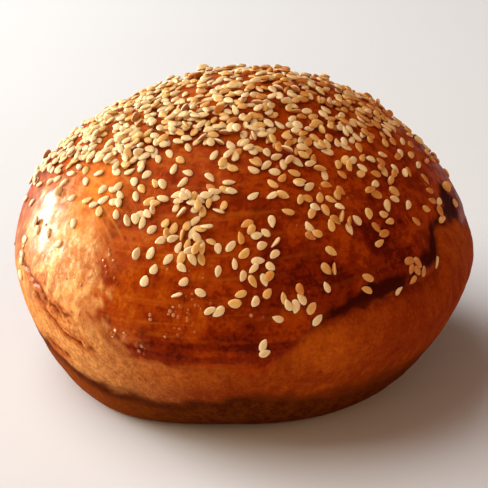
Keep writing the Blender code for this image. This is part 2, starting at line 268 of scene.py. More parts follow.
@dataclass(frozen=True)
class BunSkin:
    """The bun's skin as a surface, with the same driving sizes as its solid."""

    height: float = 0.0708
    widest_radius: float = 0.0554
    widest_height: float = 0.0279
    mean_base_radius: float = 0.0380
    crown_power: float = 1.72
    underside_power: float = 1.45
    profile_steps: int = 360
    oval_share: float = 0.017
    oval_azimuth: float = 135.0
    lobe_count: int = 3
    lobe_share: float = 0.010
    lobe_azimuth: float = 27.0
    lean_x: float = 0.0020
    lean_y: float = 0.0006
    heart_height: float = 0.030
    lump_fade_height: float = 0.006
    groove_half_width: float = 0.0014
    swell_share: float = 0.5
    swell_below_edge: float = 0.0075
    swell_spread: float = 0.0045
    base_radii: Table = (
        (0, 0.0370), (60, 0.0395), (150, 0.0385), (225, 0.0420), (270, 0.0352), (315, 0.0370),
    )
    lumps: tuple[Lump, ...] = (
        Lump(154.0, 66.0, 24.0, -0.0024), Lump(179.0, -11.4, 10.0, -0.0020),
    )
    edge_heights: Table = (
        (0, 0.0355), (35, 0.0310), (90, 0.0275), (150, 0.0275), (195, 0.0260), (222, 0.0290),
        (249, 0.0256), (274, 0.0258), (290, 0.0340), (300, 0.0356), (324, 0.0358), (332, 0.0435),
        (342, 0.0415), (352, 0.0375),
    )
    groove_depths: Table = (
        (0, 0.0002), (140, 0.0002), (180, 0.0), (262, 0.0), (288, 0.0005), (306, 0.0010),
        (328, 0.0010), (343, 0.0003),
    )

    def __post_init__(self) -> None:
        """Measures the profile's arc from the top down to the base."""
        steps = np.arange(self.profile_steps + 1)
        angles = math.pi / 2 - math.pi * steps / self.profile_steps
        radii, heights = self.profile(angles, self.mean_base_radius)
        strides = np.hypot(np.diff(radii), np.diff(heights))
        object.__setattr__(self, "angles", angles)
        object.__setattr__(self, "heights", heights)
        object.__setattr__(self, "arcs", np.concatenate([[0.0], np.cumsum(strides)]))

    @property
    def full_arc(self) -> float:
        """The arc from the top to the base's rim."""
        return float(self.arcs[-1])

    def profile(
        self, angles: np.ndarray, base_radii: np.ndarray | float
    ) -> tuple[np.ndarray, np.ndarray]:
        """Returns the turned profile's radii and heights.

        Args:
            angles: profile angles, from pi / 2 at the top to -pi / 2 at the base.
            base_radii: the base's radius at each of them.

        Returns:
            The radii and the heights.
        """
        across = np.clip(np.cos(angles), 0.0, None)
        up = np.abs(np.sin(angles))
        crown_radii = self.widest_radius * across ** (2.0 / self.crown_power)
        rise = (self.height - self.widest_height) * up ** (2.0 / self.crown_power)
        reach = (self.widest_radius - base_radii) * across ** (2.0 / self.underside_power)
        under_heights = self.widest_height * (1.0 - up ** (2.0 / self.underside_power))
        on_crown = angles >= 0.0
        radii = np.where(on_crown, crown_radii, base_radii + reach)
        return radii, np.where(on_crown, self.widest_height + rise, under_heights)

    def arc_at_height(self, heights: np.ndarray) -> np.ndarray:
        """Returns the arcs at which the profile comes down to some heights."""
        return np.interp(heights, self.heights[::-1], self.arcs[::-1])

    def edge_arc(self, azimuths: np.ndarray) -> np.ndarray:
        """Returns the arcs of the glaze's lower edge."""
        return self.arc_at_height(round_the_bun(self.edge_heights, azimuths))

    def stepped_edge_arc(self, azimuth: float) -> float:
        """Returns the glaze edge's arc, rounded to the profile's steps as the solid has it."""
        height = round_the_bun(self.edge_heights, np.array([azimuth]))[0]
        return float(self.arcs[np.searchsorted(-self.heights, -height)])

    def outward(self, points: np.ndarray) -> np.ndarray:
        """Returns the unit vectors from the bun's heart toward points, an N by 3 array."""
        outward = points - np.array([0.0, 0.0, self.heart_height])
        return outward / np.linalg.norm(outward, axis=1, keepdims=True)

    def lump_push(self, outward: np.ndarray) -> np.ndarray:
        """Returns how far the broad hollows move the skin.

        Args:
            outward: an N by 3 array of unit vectors from the bun's heart.

        Returns:
            The distances along them.
        """
        push = np.zeros(len(outward))
        for lump in self.lumps:
            middle = np.array(way_to(lump.azimuth, lump.elevation))
            away = np.degrees(np.arccos(np.clip(outward @ middle, -1.0, 1.0)))
            push += lump.push * bell(away, lump.spread)
        return push

    def groove_push(self, azimuths: np.ndarray, arcs: np.ndarray) -> np.ndarray:
        """Returns the groove along the glaze's edge and the swell of the plain side under it.

        Args:
            azimuths: azimuths in degrees.
            arcs: arcs from the top.

        Returns:
            How far they move the skin.
        """
        depths = round_the_bun(self.groove_depths, azimuths)
        below = arcs - self.edge_arc(azimuths)
        swell = bell(below - self.swell_below_edge, self.swell_spread)
        return depths * (self.swell_share * swell - bell(below, self.groove_half_width))

    def points(self, azimuths: np.ndarray, arcs: np.ndarray) -> np.ndarray:
        """Returns the smooth skin's points.

        Args:
            azimuths: azimuths in degrees.
            arcs: arcs from the top, as many.

        Returns:
            An N by 3 array of points.
        """
        base_radii = round_the_bun(self.base_radii, azimuths)
        angles = np.interp(arcs, self.arcs, self.angles)
        radii, heights = self.profile(angles, base_radii)
        oval = self.oval_share * np.cos(2.0 * np.radians(azimuths - self.oval_azimuth))
        lobes = self.lobe_share * np.cos(
            self.lobe_count * np.radians(azimuths - self.lobe_azimuth)
        )
        reach = radii * (1.0 + oval + lobes)
        turns = np.radians(azimuths)
        share = heights / self.height
        x = reach * np.cos(turns) + self.lean_x * share
        y = reach * np.sin(turns) + self.lean_y * share
        plain = np.stack([x, y, heights], axis=1)
        outward = self.outward(plain)
        push = self.lump_push(outward) + self.groove_push(azimuths, arcs)
        push *= ease(0.0, self.lump_fade_height, heights)
        return plain + outward * push[:, None]


@dataclass(frozen=True)
class CrustRelief:
    """The crust's own unevenness over the smooth skin, and masks of its baking and its painted light
    and shade.
    """

    skin: BunSkin
    broad: Cloud = Cloud(0.013, 3.1)
    broad_height: float = 0.00022
    small: Cloud = Cloud(0.0030, 8.3)
    small_height: float = 0.00011
    fade_height: float = 0.004
    patch_spread_arc: float = 0.07

    lip_depths: Table = (
        (0, 0.00008), (120, 0.00010), (180, 0.0), (258, 0.0), (284, 0.00010), (300, 0.00024),
        (328, 0.00024), (345, 0.00010),
    )
    lip_full_depth: float = 0.00024
    lip_half_width: float = 0.0008
    bead_above_edge: float = 0.0013
    bead_half_width: float = 0.0008
    bead_share: float = 0.5
    lip_crease_half_width: float = 0.0006
    lip_crease_evenness: float = 0.65

    wrinkles: tuple[SkinLine, ...] = (
        SkinLine(
            (196, 205, 212, 217, 221, 228),
            (0.0705, 0.0713, 0.0725, 0.0742, 0.0749, 0.0752),
            0.00052,
            0.0005,
        ),
        SkinLine(
            (208, 214, 219, 224, 229, 235),
            (0.0738, 0.0755, 0.0783, 0.0800, 0.0807, 0.0811),
            0.00052,
            0.0005,
        ),
        SkinLine((210, 216, 224), (0.0862, 0.0871, 0.0878), 0.00055, 0.0006),
        SkinLine((20, 34, 48), (0.0800, 0.0812, 0.0806), 0.00030, 0.0007),
        SkinLine((118, 132, 140), (0.0775, 0.0790, 0.0788), 0.00035, 0.0007),
    )
    line_rag: Cloud = Cloud(0.0026, 6.6, 3)
    line_breaks: Span = (-0.80, -0.10)
    line_wander: float = 0.0008
    crease_wander: float = 0.0005
    line_fade: float = 4.0
    shoulder_place: float = 2.4
    shoulder_share: float = 0.14
    red_shoulder_share: float = 0.7

    edge_wave: Cloud = Cloud(0.0045, 5.7, 4)
    edge_wobble: float = 0.0009
    edge_wobble_share: float = 0.45
    edge_softness: Table = (
        (0, 0.0008), (80, 0.0012), (180, 0.0026), (222, 0.0042), (240, 0.0018), (248, 0.0009),
        (266, 0.0009), (280, 0.0010), (296, 0.0007), (330, 0.0007),
    )
    tongues: tuple[Patch, ...] = (
        Patch(273.0, 0.0795, 0.0030, 0.0020, 0.0030), Patch(253.0, 0.0785, 0.0100, 0.0022, 0.0017),
        Patch(232.0, 0.0740, 0.0050, 0.0030, -0.0016),
    )
    rag: Cloud = Cloud(0.0028, 2.2, 3)
    pools: tuple[Patch, ...] = (
        Patch(290.0, 0.0686, 0.0036, 0.0013, 1.0), Patch(296.5, 0.0668, 0.0036, 0.0017, 1.2),
        Patch(304.5, 0.0655, 0.0036, 0.0024, 1.8), Patch(311.0, 0.0648, 0.0026, 0.0014, 1.0),
        Patch(320.5, 0.0634, 0.0032, 0.0020, 1.1), Patch(328.0, 0.0615, 0.0030, 0.0032, 1.7),
        Patch(334.0, 0.0596, 0.0026, 0.0024, 1.2), Patch(346.0, 0.0580, 0.0046, 0.0034, 1.8),
        Patch(8.0, 0.0620, 0.0050, 0.0018, 0.9), Patch(66.0, 0.0700, 0.0060, 0.0016, 0.8),
        Patch(150.0, 0.0735, 0.0050, 0.0015, 0.7),
    )
    pool_rag: float = 0.55
    pool_range: Span = (0.30, 1.20)
    pool_edge: Span = (-0.5, 0.4)
    streaks: tuple[Patch, ...] = (
        Patch(256.0, 0.0765, 0.0110, 0.0024, 0.35), Patch(270.0, 0.0735, 0.0080, 0.0028, 0.60),
        Patch(274.0, 0.0738, 0.0040, 0.0014, 0.8), Patch(284.0, 0.0690, 0.0050, 0.0015, 0.9),
        Patch(281.0, 0.0718, 0.0026, 0.0016, 1.4), Patch(20.0, 0.0650, 0.0090, 0.0018, 0.8),
        Patch(100.0, 0.0745, 0.0100, 0.0016, 0.8), Patch(172.0, 0.0750, 0.0080, 0.0015, 0.7),
    )
    brush_lines: tuple[SkinLine, ...] = (
        SkinLine((238, 246, 254, 262, 272), (0.0752, 0.0772, 0.0782, 0.0778, 0.0756), 2.1, 0.00075),
        SkinLine((244, 250, 257, 266), (0.0762, 0.0767, 0.0766, 0.0769), 1.3, 0.0007),
        SkinLine((246, 254, 264, 276), (0.0742, 0.0738, 0.0733, 0.0742), 1.0, 0.0006),
        SkinLine((228, 236, 243, 251), (0.0722, 0.0722, 0.0718, 0.0728), 0.9, 0.0007),
        SkinLine((230, 237, 247), (0.0700, 0.0706, 0.0693), 0.6, 0.0006),
        SkinLine((236, 244, 254), (0.0662, 0.0668, 0.0662), 0.5, 0.0006),
        SkinLine((258, 268, 280), (0.0704, 0.0708, 0.0712), 0.7, 0.0007),
    )
    streak_rag: float = 0.10
    streak_range: Span = (0.1, 1.4)
    brushed_middle: float = 245.0
    brushed_spread: float = 26.0

    # Where the glaze lies thinly toward the left, showing the bread, and where a sheen is painted: it
    # lightens the crown partly as bread colour and partly as painted sheen.
    thin_sheen_start: Span = (176.0, 208.0)
    thin_sheen_start_rag: float = 9.0
    thin_sheen_ends: Table = (
        (0.030, 209.0), (0.042, 217.0), (0.050, 223.0), (0.059, 230.0), (0.068, 234.0),
        (0.074, 237.0),
    )
    thin_sheen_end_rag: float = 6.0
    thin_sheen_end_softness: float = 3.0
    thin_sheen_below: Span = (0.047, 0.062)
    thin_sheen_below_rag: float = 0.004
    # Patches added to that mask: partly golden glaze, partly painted sheen.
    golden: tuple[Patch, ...] = (
        Patch(208.0, 0.0440, 0.0110, 0.0090, 0.12), Patch(190.0, 0.0400, 0.0110, 0.0100, 0.10),
        Patch(242.0, 0.0765, 0.0042, 0.0030, 0.22), Patch(150.0, 0.0220, 0.0180, 0.0130, 0.15),
    )
    golden_rag: float = 0.5

    # The paler side toward the left: partly the bread's own paler tone, partly painted light where the
    # left side is lit.
    pale_middle: float = 222.0
    pale_spreads: Span = (27.0, 16.0)
    pale_edge: Span = (-0.001, 0.004)
    # The under-curve, where the side turns under, and its upper rim: the finish paints them dark,
    # partly as darker crust and partly as painted shade.
    under_wave: Cloud = Cloud(0.006, 9.9, 3)
    under_wobble: float = 0.0016
    under_heights: Table = (
        (0, 0.0165), (60, 0.0140), (150, 0.0150), (200, 0.0165), (210, 0.0162), (217, 0.0145),
        (224, 0.0123), (237, 0.0119), (252, 0.0112), (260, 0.0128), (268, 0.0152), (276, 0.0156),
        (290, 0.0142), (307, 0.0148),
    )
    under_softness: Table = (
        (0, 0.0030), (180, 0.0032), (222, 0.0018), (262, 0.0016), (284, 0.0028), (304, 0.0056),
    )
    rim_below: float = 0.0012
    rim_half_width: float = 0.0015
    rim_rag: float = 0.4
    rim_least: float = 0.20
    rim_middle: float = 226.0
    rim_spread: float = 22.0
    freckles: tuple[Patch, ...] = (
        Patch(213.0, 0.0722, 0.0034, 0.0022, 1.2), Patch(220.0, 0.0735, 0.0030, 0.0016, 0.9),
        Patch(230.0, 0.0618, 0.0022, 0.0026, 1.1), Patch(226.0, 0.0775, 0.0040, 0.0020, 0.7),
        Patch(217.0, 0.0860, 0.0030, 0.0016, 0.8),
    )
    stains: tuple[Stain, ...] = (
        Stain("swept", 0.0, 0.0, (
            Patch(227.0, 0.0490, 0.0070, 0.0075, 1.1), Patch(213.0, 0.0430, 0.0100, 0.0080, 0.8),
        )),
        Stain("dusky", 0.5, 0.0, (
            Patch(267.0, 0.0615, 0.0060, 0.0060, 0.6), Patch(266.0, 0.0732, 0.0130, 0.0034, 0.42),
            Patch(267.0, 0.0450, 0.0070, 0.0060, 0.3), Patch(325.0, 0.0480, 0.0170, 0.0110, 0.5),
            Patch(298.0, 0.0590, 0.0120, 0.0050, 0.8), Patch(350.0, 0.0500, 0.0100, 0.0080, 0.5),
            Patch(110.0, 0.0550, 0.0200, 0.0100, 0.5),
        )),
        # Lighter crown: partly lighter glaze, partly a painted glow where the right-top edge catches
        # light.
        Stain("honeyed_and_glow", 0.4, 0.0, (
            Patch(257.0, 0.0610, 0.0090, 0.0090, 0.9), Patch(244.0, 0.0465, 0.0060, 0.0070, 0.3),
            Patch(243.0, 0.0610, 0.0080, 0.0090, 0.5), Patch(252.0, 0.0478, 0.0060, 0.0060, 0.7),
            Patch(248.0, 0.0660, 0.0060, 0.0040, 0.5), Patch(342.0, 0.0470, 0.0080, 0.0070, 2.0),
            Patch(224.0, 0.0287, 0.0060, 0.0060, 0.8), Patch(265.0, 0.0246, 0.0060, 0.0060, 0.7),
            Patch(294.0, 0.0260, 0.0050, 0.0050, 0.5), Patch(350.0, 0.0229, 0.0100, 0.0080, 0.7),
            Patch(235.0, 0.0100, 0.0080, 0.0080, 0.6), Patch(353.0, 0.0400, 0.0080, 0.0070, 1.6),
            Patch(188.0, 0.0164, 0.0100, 0.0100, 0.7), Patch(60.0, 0.0480, 0.0160, 0.0120, 0.5),
            Patch(120.0, 0.0400, 0.0160, 0.0120, 0.5),
        )),
        Stain("ruddy", 0.0, 0.25, (
            Patch(262.0, 0.0860, 0.0110, 0.0050, 0.9), Patch(318.0, 0.0760, 0.0180, 0.0090, 0.8),
            Patch(60.0, 0.0840, 0.0300, 0.0080, 0.7), Patch(150.0, 0.0880, 0.0200, 0.0060, 0.5),
        )),
        Stain("amber", 0.0, 0.2, (
            Patch(288.0, 0.0730, 0.0060, 0.0026, 0.8), Patch(290.0, 0.0775, 0.0060, 0.0030, 0.7),
            Patch(246.0, 0.0830, 0.0060, 0.0030, 0.6), Patch(257.0, 0.0825, 0.0060, 0.0028, 0.8),
            Patch(344.0, 0.0640, 0.0060, 0.0040, 0.7), Patch(30.0, 0.0720, 0.0150, 0.0040, 0.6),
            Patch(125.0, 0.0800, 0.0150, 0.0040, 0.6),
        )),
        Stain("gilded", 0.3, 0.0, (
            Patch(218.5, 0.0510, 0.0064, 0.0088, 0.85), Patch(212.0, 0.0450, 0.0070, 0.0060, 0.40),
        )),
        Stain("shiny", 0.0, 0.0, (
            Patch(199.0, 0.0535, 0.0060, 0.0060, 0.7), Patch(205.0, 0.0590, 0.0064, 0.0060, 0.9),
            Patch(213.0, 0.0650, 0.0060, 0.0050, 0.5), Patch(223.0, 0.0610, 0.0060, 0.0070, 0.7),
        )),
    )

    def above_edge(self, at: Places) -> np.ndarray:
        """Returns how far above the glaze's edge places lie, along the skin."""
        return self.skin.edge_arc(at.azimuths) - at.arcs

    def patches(self, patches: tuple[Patch, ...], at: Places) -> np.ndarray:
        """Adds up soft patches.

        Args:
            patches: the patches.
            at: where to look.

        Returns:
            Their sum at each place.
        """
        total = np.zeros(len(at.arcs))
        for patch in patches:
            turn = np.radians(turned_from(patch.azimuth, at.azimuths))
            quarter = min(patch.arc / self.patch_spread_arc, 1.0) * math.pi / 2
            radius = self.skin.widest_radius * math.sin(quarter)
            around = turn * radius / patch.around
            down = (at.arcs - patch.arc) / patch.down
            total += patch.strength * np.exp(-0.5 * (around**2 + down**2))
        return total

    def line_bells(self, line: SkinLine, at: Places) -> tuple[np.ndarray, np.ndarray]:
        """Returns how near a ragged, broken line each place lies.

        Args:
            line: the line.
            at: where to look.

        Returns:
            Values from 0 to 1: how deep in the line each place lies, and how high on
            the shoulders beside it.
        """
        first, last = line.azimuths[0], line.azimuths[-1]
        there = ease(first, first + self.line_fade, at.azimuths)
        there *= 1.0 - ease(last - self.line_fade, last, at.azimuths)
        near = there > 0.0
        ragged = np.zeros(len(at.arcs))
        ragged[near] = self.line_rag.at(at.points[near])
        there *= ease(*self.line_breaks, ragged)
        middle = np.interp(at.azimuths, line.azimuths, line.arcs)
        away = at.arcs - middle + self.line_wander * ragged
        crease = there * bell(away + self.crease_wander * ragged, line.half_width)
        beside = np.abs(away) - self.shoulder_place * line.half_width
        return crease, there * bell(beside, line.half_width)

    def push(self, at: Places) -> np.ndarray:
        """Returns how far the crust stands out from the smooth skin.

        Args:
            at: places with the smooth skin's points.

        Returns:
            The heights over the skin.
        """
        push = self.broad_height * self.broad.at(at.points)
        push += self.small_height * self.small.at(at.points)
        above = self.above_edge(at)
        bead = bell(above - self.bead_above_edge, self.bead_half_width)
        lip = round_the_bun(self.lip_depths, at.azimuths)
        push += lip * (self.bead_share * bead - bell(above, self.lip_half_width))
        for wrinkle in self.wrinkles:
            crease, shoulder = self.line_bells(wrinkle, at)
            push += wrinkle.strength * (self.shoulder_share * shoulder - crease)
        return push * ease(0.0, self.fade_height, at.points[:, 2])

    def points(self, azimuths: np.ndarray, arcs: np.ndarray) -> np.ndarray:
        """Returns points of the uneven crust.

        Args:
            azimuths: azimuths in degrees.
            arcs: arcs from the top, as many.

        Returns:
            An N by 3 array of points.
        """
        smooth = self.skin.points(azimuths, arcs)
        push = self.push(Places(azimuths, arcs, smooth))
        return smooth + self.skin.outward(smooth) * push[:, None]

    def masks(self, at: Places) -> Masks:
        """Returns how the crust has baked.

        Args:
            at: places with the crust's points.

        Returns:
            Masks from 0 to 1, by name: those of the methods after this one, and swept,
            dusky, honeyed_and_glow (partly painted glow), ruddy, amber, gilded and shiny, which are
            soft patches.
        """
        ragged = self.rag.at(at.points)
        masks = self.glaze_masks(at, ragged) | self.under_masks(at, ragged)
        masks |= self.crack_masks(at, ragged)
        for stain in self.stains:
            total = self.patches(stain.patches, at) * (1.0 + stain.scaled * ragged)
            masks[stain.name] = held(total + stain.added * ragged)
        return masks

    def glaze_masks(self, at: Places, ragged: np.ndarray) -> Masks:
        """Returns where the glaze lies, and how.

        Args:
            at: places with the crust's points.
            ragged: fine noise there.

        Returns:
            Masks: glazed, pooled where the glaze lies thick, streaked by the brush,
                brushed for its rings, thin_and_sheen where the glaze lies thinly and where sheen
                is painted, and pale below it: partly paler bread, partly painted light on the left.
        """
        above = self.above_edge(at)
        soft = round_the_bun(self.edge_softness, at.azimuths)
        wobble = self.edge_wobble + self.edge_wobble_share * soft
        above_wobbling = above + wobble * self.edge_wave.at(at.points)
        reach = above_wobbling + self.patches(self.tongues, at)
        glazed = ease(-1.0, 1.0, reach / soft)
        pooled = self.patches(self.pools, at) + self.pool_rag * ragged
        streaked = self.patches(self.streaks, at)
        for line in self.brush_lines:
            streaked += line.strength * self.line_bells(line, at)[0]
        turned = turned_from(self.pale_middle, at.azimuths)
        pale = bell(turned, np.where(turned < 0.0, *self.pale_spreads))
        return {
            "glazed": glazed,
            "pooled": ease(*self.pool_range, pooled) * ease(*self.pool_edge, reach / soft),
            "streaked": ease(*self.streak_range, streaked + self.streak_rag * ragged) * glazed,
            "brushed": bell(turned_from(self.brushed_middle, at.azimuths), self.brushed_spread),
            "thin_and_sheen": self.thin_and_sheen_mask(at, ragged),
            "pale": pale * (1.0 - ease(*self.pale_edge, above_wobbling)),
        }

    def thin_and_sheen_mask(self, at: Places, ragged: np.ndarray) -> np.ndarray:
        """Returns where the glaze lies thinly over the bread, and where a sheen is painted on the left
        crown.

        Args:
            at: where to look.
            ragged: fine noise there.

        Returns:
            Values from 0 to 1.
        """
        turned = at.azimuths % 360.0
        past_end = turned - np.interp(at.arcs, *zip(*self.thin_sheen_ends)) + self.thin_sheen_end_rag * ragged
        thin_and_sheen = ease(*self.thin_sheen_start, turned + self.thin_sheen_start_rag * ragged)
        thin_and_sheen *= 1.0 - ease(-self.thin_sheen_end_softness, self.thin_sheen_end_softness, past_end)
        thin_and_sheen *= ease(*self.thin_sheen_below, at.arcs + self.thin_sheen_below_rag * ragged)
        return held(thin_and_sheen + self.patches(self.golden, at) * (1.0 + self.golden_rag * ragged))

    def under_masks(self, at: Places, ragged: np.ndarray) -> Masks:
        """Returns the under-curve and its upper rim, which the finish paints dark, partly as darker
        crust and partly as painted shade.

        Args:
            at: places with the crust's points.
            ragged: fine noise there.

        Returns:
            Masks: under and rimmed.
        """
        level = round_the_bun(self.under_heights, at.azimuths)
        over = at.points[:, 2] - (level + self.under_wobble * self.under_wave.at(at.points))
        rimmed = bell(over + self.rim_below, self.rim_half_width) * (1.0 + self.rim_rag * ragged)
        front = bell(turned_from(self.rim_middle, at.azimuths), self.rim_spread)
        rimmed *= self.rim_least + (1.0 - self.rim_least) * front
        under = 1.0 - ease(-1.0, 1.0, over / round_the_bun(self.under_softness, at.azimuths))
        return {"under": under, "rimmed": held(rimmed)}

    def crack_masks(self, at: Places, ragged: np.ndarray) -> Masks:
        """Returns the cracks, what is red beside them, and the freckles.

        Args:
            at: places with the crust's points.
            ragged: fine noise there.

        Returns:
            Masks: creased, reddened and freckled.
        """
        creased, reddened = np.zeros(len(at.arcs)), np.zeros(len(at.arcs))
        for wrinkle in self.wrinkles:
            crease, shoulder = self.line_bells(wrinkle, at)
            creased = np.maximum(creased, crease)
            reddened = np.maximum(reddened, np.maximum(crease, self.red_shoulder_share * shoulder))
        # Painted shade, partly darker crust: the groove along the glaze's edge is darkened like a
        # crease.
        lip = round_the_bun(self.lip_depths, at.azimuths) / self.lip_full_depth
        lip *= bell(self.above_edge(at), self.lip_crease_half_width)
        lip *= self.lip_crease_evenness + (1.0 - self.lip_crease_evenness) * ragged
        return {
            "creased": np.maximum(creased, lip),
            "reddened": held(reddened),
            "freckled": held(self.patches(self.freckles, at) + reddened),
        }


def make_mesh(name: str, points: np.ndarray, faces: Faces, masks: Masks) -> bpy.types.Object:
    """Makes a smooth mesh object with masks on its points.

    Args:
        name: the piece's name.
        points: an N by 3 array of places.
        faces: tuples of point indices.
        masks: one value a point, by name.

    Returns:
        The new object, linked to the scene.
    """
    mesh = bpy.data.meshes.new(name)
    mesh.from_pydata(points.tolist(), [], faces)
    for mask_name, values in masks.items():
        layer = mesh.attributes.new(mask_name, "FLOAT", "POINT")
        layer.data.foreach_set("value", np.asarray(values, np.float32))
    mesh.shade_smooth()
    mesh.update()
    piece = bpy.data.objects.new(name, mesh)
    bpy.context.scene.collection.objects.link(piece)
    return piece


@dataclass(frozen=True)
class Crust:
    """The baked crust as one closed skin, finest along the glaze's edge."""

    relief: CrustRelief
    columns: int = 480
    crown_rows: int = 98
    edge_rows: int = 34
    side_rows: int = 52
    base_rows: int = 6
    above_edge: float = 0.0065
    below_edge: float = 0.0065

    def rows(self, azimuths: np.ndarray) -> np.ndarray:
        """Returns the arcs of the crust's rows.

        Args:
            azimuths: the azimuth of each column, in degrees.

        Returns:
            An array with one row of arcs for each row of the crust.
        """
        edge = self.relief.skin.edge_arc(azimuths)
        first = edge - self.above_edge
        last = edge + self.below_edge
        bands = (
            (self.crown_rows, np.zeros(len(azimuths)), first),
            (self.edge_rows, first, last),
            (self.side_rows, last, np.full(len(azimuths), self.relief.skin.full_arc)),
        )
        rows = []
        for count, upper, lower in bands:
            rows += [upper + (lower - upper) * share for share in np.linspace(0.0, 1.0, count + 1)[1:]]
        return np.array(rows)

    def build(self) -> bpy.types.Object:
        """Makes the crust, closed by its flat base.

        Returns:
            The new object.
        """
        azimuths = np.arange(self.columns) * 360.0 / self.columns
        arcs = self.rows(azimuths)
        skin_azimuths = np.broadcast_to(azimuths, arcs.shape).ravel()
        points = self.relief.points(skin_azimuths, arcs.ravel())
        points[-self.columns :, 2] = 0.0
        masks = self.relief.masks(Places(skin_azimuths, arcs.ravel(), points))
        rim = points[-self.columns :]
        shares = 1.0 - np.arange(1, self.base_rows + 1) / (self.base_rows + 1.0)
        base = np.concatenate([rim * share for share in shares])
        top = self.relief.points(np.array([0.0]), np.array([0.0]))
        every = np.concatenate([top, points, base, np.zeros((1, 3))])
        return make_mesh("crust", every, self.faces(len(arcs)), self.padded(masks, len(base)))

    def padded(self, masks: Masks, base_points: int) -> Masks:
        """Adds the top point, the base's points and its middle to the masks.

        Args:
            masks: one value for each point of the skin, by name.
            base_points: how many points the base has without its middle.

        Returns:
            One value for each point of the crust, by name.
        """
        full = {}
        for name, values in masks.items():
            under = np.full(base_points + 1, values[-1])
            full[name] = np.concatenate([[values[0]], values, under])
        return full

    def faces(self, skin_rows: int) -> Faces:
        """Joins the crust's points.

        Args:
            skin_rows: how many rows lie between the top point and the base.

        Returns:
            The faces of the whole closed skin.
        """
        rows = skin_rows + self.base_rows
        last = 1 + rows * self.columns
        faces = fan_faces(1, self.columns, 0)
        faces += fan_faces(last - self.columns, self.columns, last, upward=False)
        return faces + ring_faces(1, self.columns, rows, upward=False)


@dataclass(frozen=True)
class GlazeBlisters:
    """Small bubbles that the glaze baked into, as low domes rooted in the crust."""

    relief: CrustRelief
    draw: int = 19
    sides: int = 12
    rings: int = 4
    crest_rings: int = 2
    radii: Span = (0.00022, 0.00050)
    bold_radii: Span = (0.00036, 0.00056)
    # A blister crest can be painted pale as a glint, a painted highlight; these shares say how far.
    bold_glint_share: float = 0.22
    crest_glint_share: float = 0.85
    stretches: Span = (0.8, 1.3)
    rise_share: float = 0.58
    sunk_share: float = 0.30
    scattered: int = 70
    least_arc: float = 0.030
    edge_margin: float = 0.001
    single: tuple[Drift, ...] = (
        Drift(234, 0.0584, 2.0, 4), Drift(238, 0.0649, 2.0, 3), Drift(251, 0.0574, 0.3, 1),
        Drift(254, 0.0574, 0.3, 1), Drift(239, 0.0745, 0.8, 3), Drift(248, 0.0770, 1.0, 3),
        Drift(244, 0.0735, 1.5, 3), Drift(258, 0.0655, 2.6, 17), Drift(257, 0.0700, 2.4, 8),
        Drift(262, 0.0640, 2.0, 7), Drift(228, 0.0690, 3.0, 5), Drift(55, 0.0600, 3.0, 14),
        Drift(130, 0.0640, 3.0, 12),
    )
    bold: tuple[Drift, ...] = (
        Drift(243, 0.0735, 0.4, 1), Drift(247, 0.0766, 0.5, 2), Drift(253, 0.0728, 0.4, 1),
        Drift(254, 0.0665, 1.4, 4), Drift(249, 0.0687, 1.0, 2), Drift(272, 0.0660, 0.3, 1),
        Drift(234, 0.0598, 1.4, 3),
    )
    crest_glint: tuple[Drift, ...] = (
        Drift(240, 0.0735, 0.3, 2), Drift(239, 0.0753, 0.4, 1), Drift(248, 0.0770, 0.3, 1),
    )

    def spots(self) -> list[tuple[float, float, float, float]]:
        """Draws the blisters' places.

        Returns:
            The azimuth, arc, radius and painted crest glint of each.
        """
        rng = random.Random(self.draw)
        groups = (
            (self.single, self.radii, 0.0),
            (self.bold, self.bold_radii, self.bold_glint_share),
            (self.crest_glint, self.radii, self.crest_glint_share),
        )
        spots = []
        for drifts, radii, glint_share in groups:
            for drift in drifts:
                for _ in range(drift.count):
                    azimuth, arc = place_on_skin(*drift.draw(rng))
                    spots.append((azimuth, arc, rng.uniform(*radii), glint_share))
        for _ in range(self.scattered):
            azimuth = rng.uniform(0.0, 360.0)
            last = float(self.relief.skin.edge_arc(np.array([azimuth]))[0]) - self.edge_margin
            spots.append((azimuth, rng.uniform(self.least_arc, last), rng.uniform(*self.radii), 0.0))
        return spots

    def dome(self, radius: float, stretch: float) -> list[Vector]:
        """Returns one blister's points, ring by ring and then its crest.

        Args:
            radius: its radius across the slope.
            stretch: how much longer it is down the slope.

        Returns:
            The points in its seat.
        """
        points = []
        for ring in range(self.rings):
            rise = math.pi / 2 * ring / self.rings
            z = radius * (self.rise_share * math.sin(rise) - self.sunk_share * (ring == 0))
            for side in range(self.sides):
                turn = 2.0 * math.pi * side / self.sides
                x = radius * stretch * math.cos(rise) * math.cos(turn)
                points.append(Vector((x, radius * math.cos(rise) * math.sin(turn), z)))
        return points + [Vector((0.0, 0.0, radius * self.rise_share))]

    def build(self) -> bpy.types.Object:
        """Makes all the blisters as one mesh.

        Returns:
            The new object.
        """
        rng = random.Random(self.draw + 1)
        points, faces, azimuths, arcs, crests = [], [], [], [], []
        crest_points = self.crest_rings * self.sides + 1
        for azimuth, arc, radius, glint_share in self.spots():
            seat = surface_frame(self.relief, azimuth, arc)
            first = len(points)
            crest = first + (self.rings - 1) * self.sides
            dome = self.dome(radius, rng.uniform(*self.stretches))
            points += [tuple(seat @ point) for point in dome]
            faces += ring_faces(first, self.sides, self.rings)
            faces += fan_faces(crest, self.sides, crest + self.sides)
            faces.append(tuple(first + side for side in reversed(range(self.sides))))
            azimuths += [azimuth] * len(dome)
            arcs += [arc] * len(dome)
            crests += [0.0] * (len(dome) - crest_points) + [glint_share] * crest_points
        places = np.array(points)
        masks = self.relief.masks(Places(np.array(azimuths), np.array(arcs), places))
        # Painted highlight: how far each crest is painted pale as a glint.
        masks["crest_glint"] = np.array(crests)
        return make_mesh("glaze_blisters", places, faces, masks)


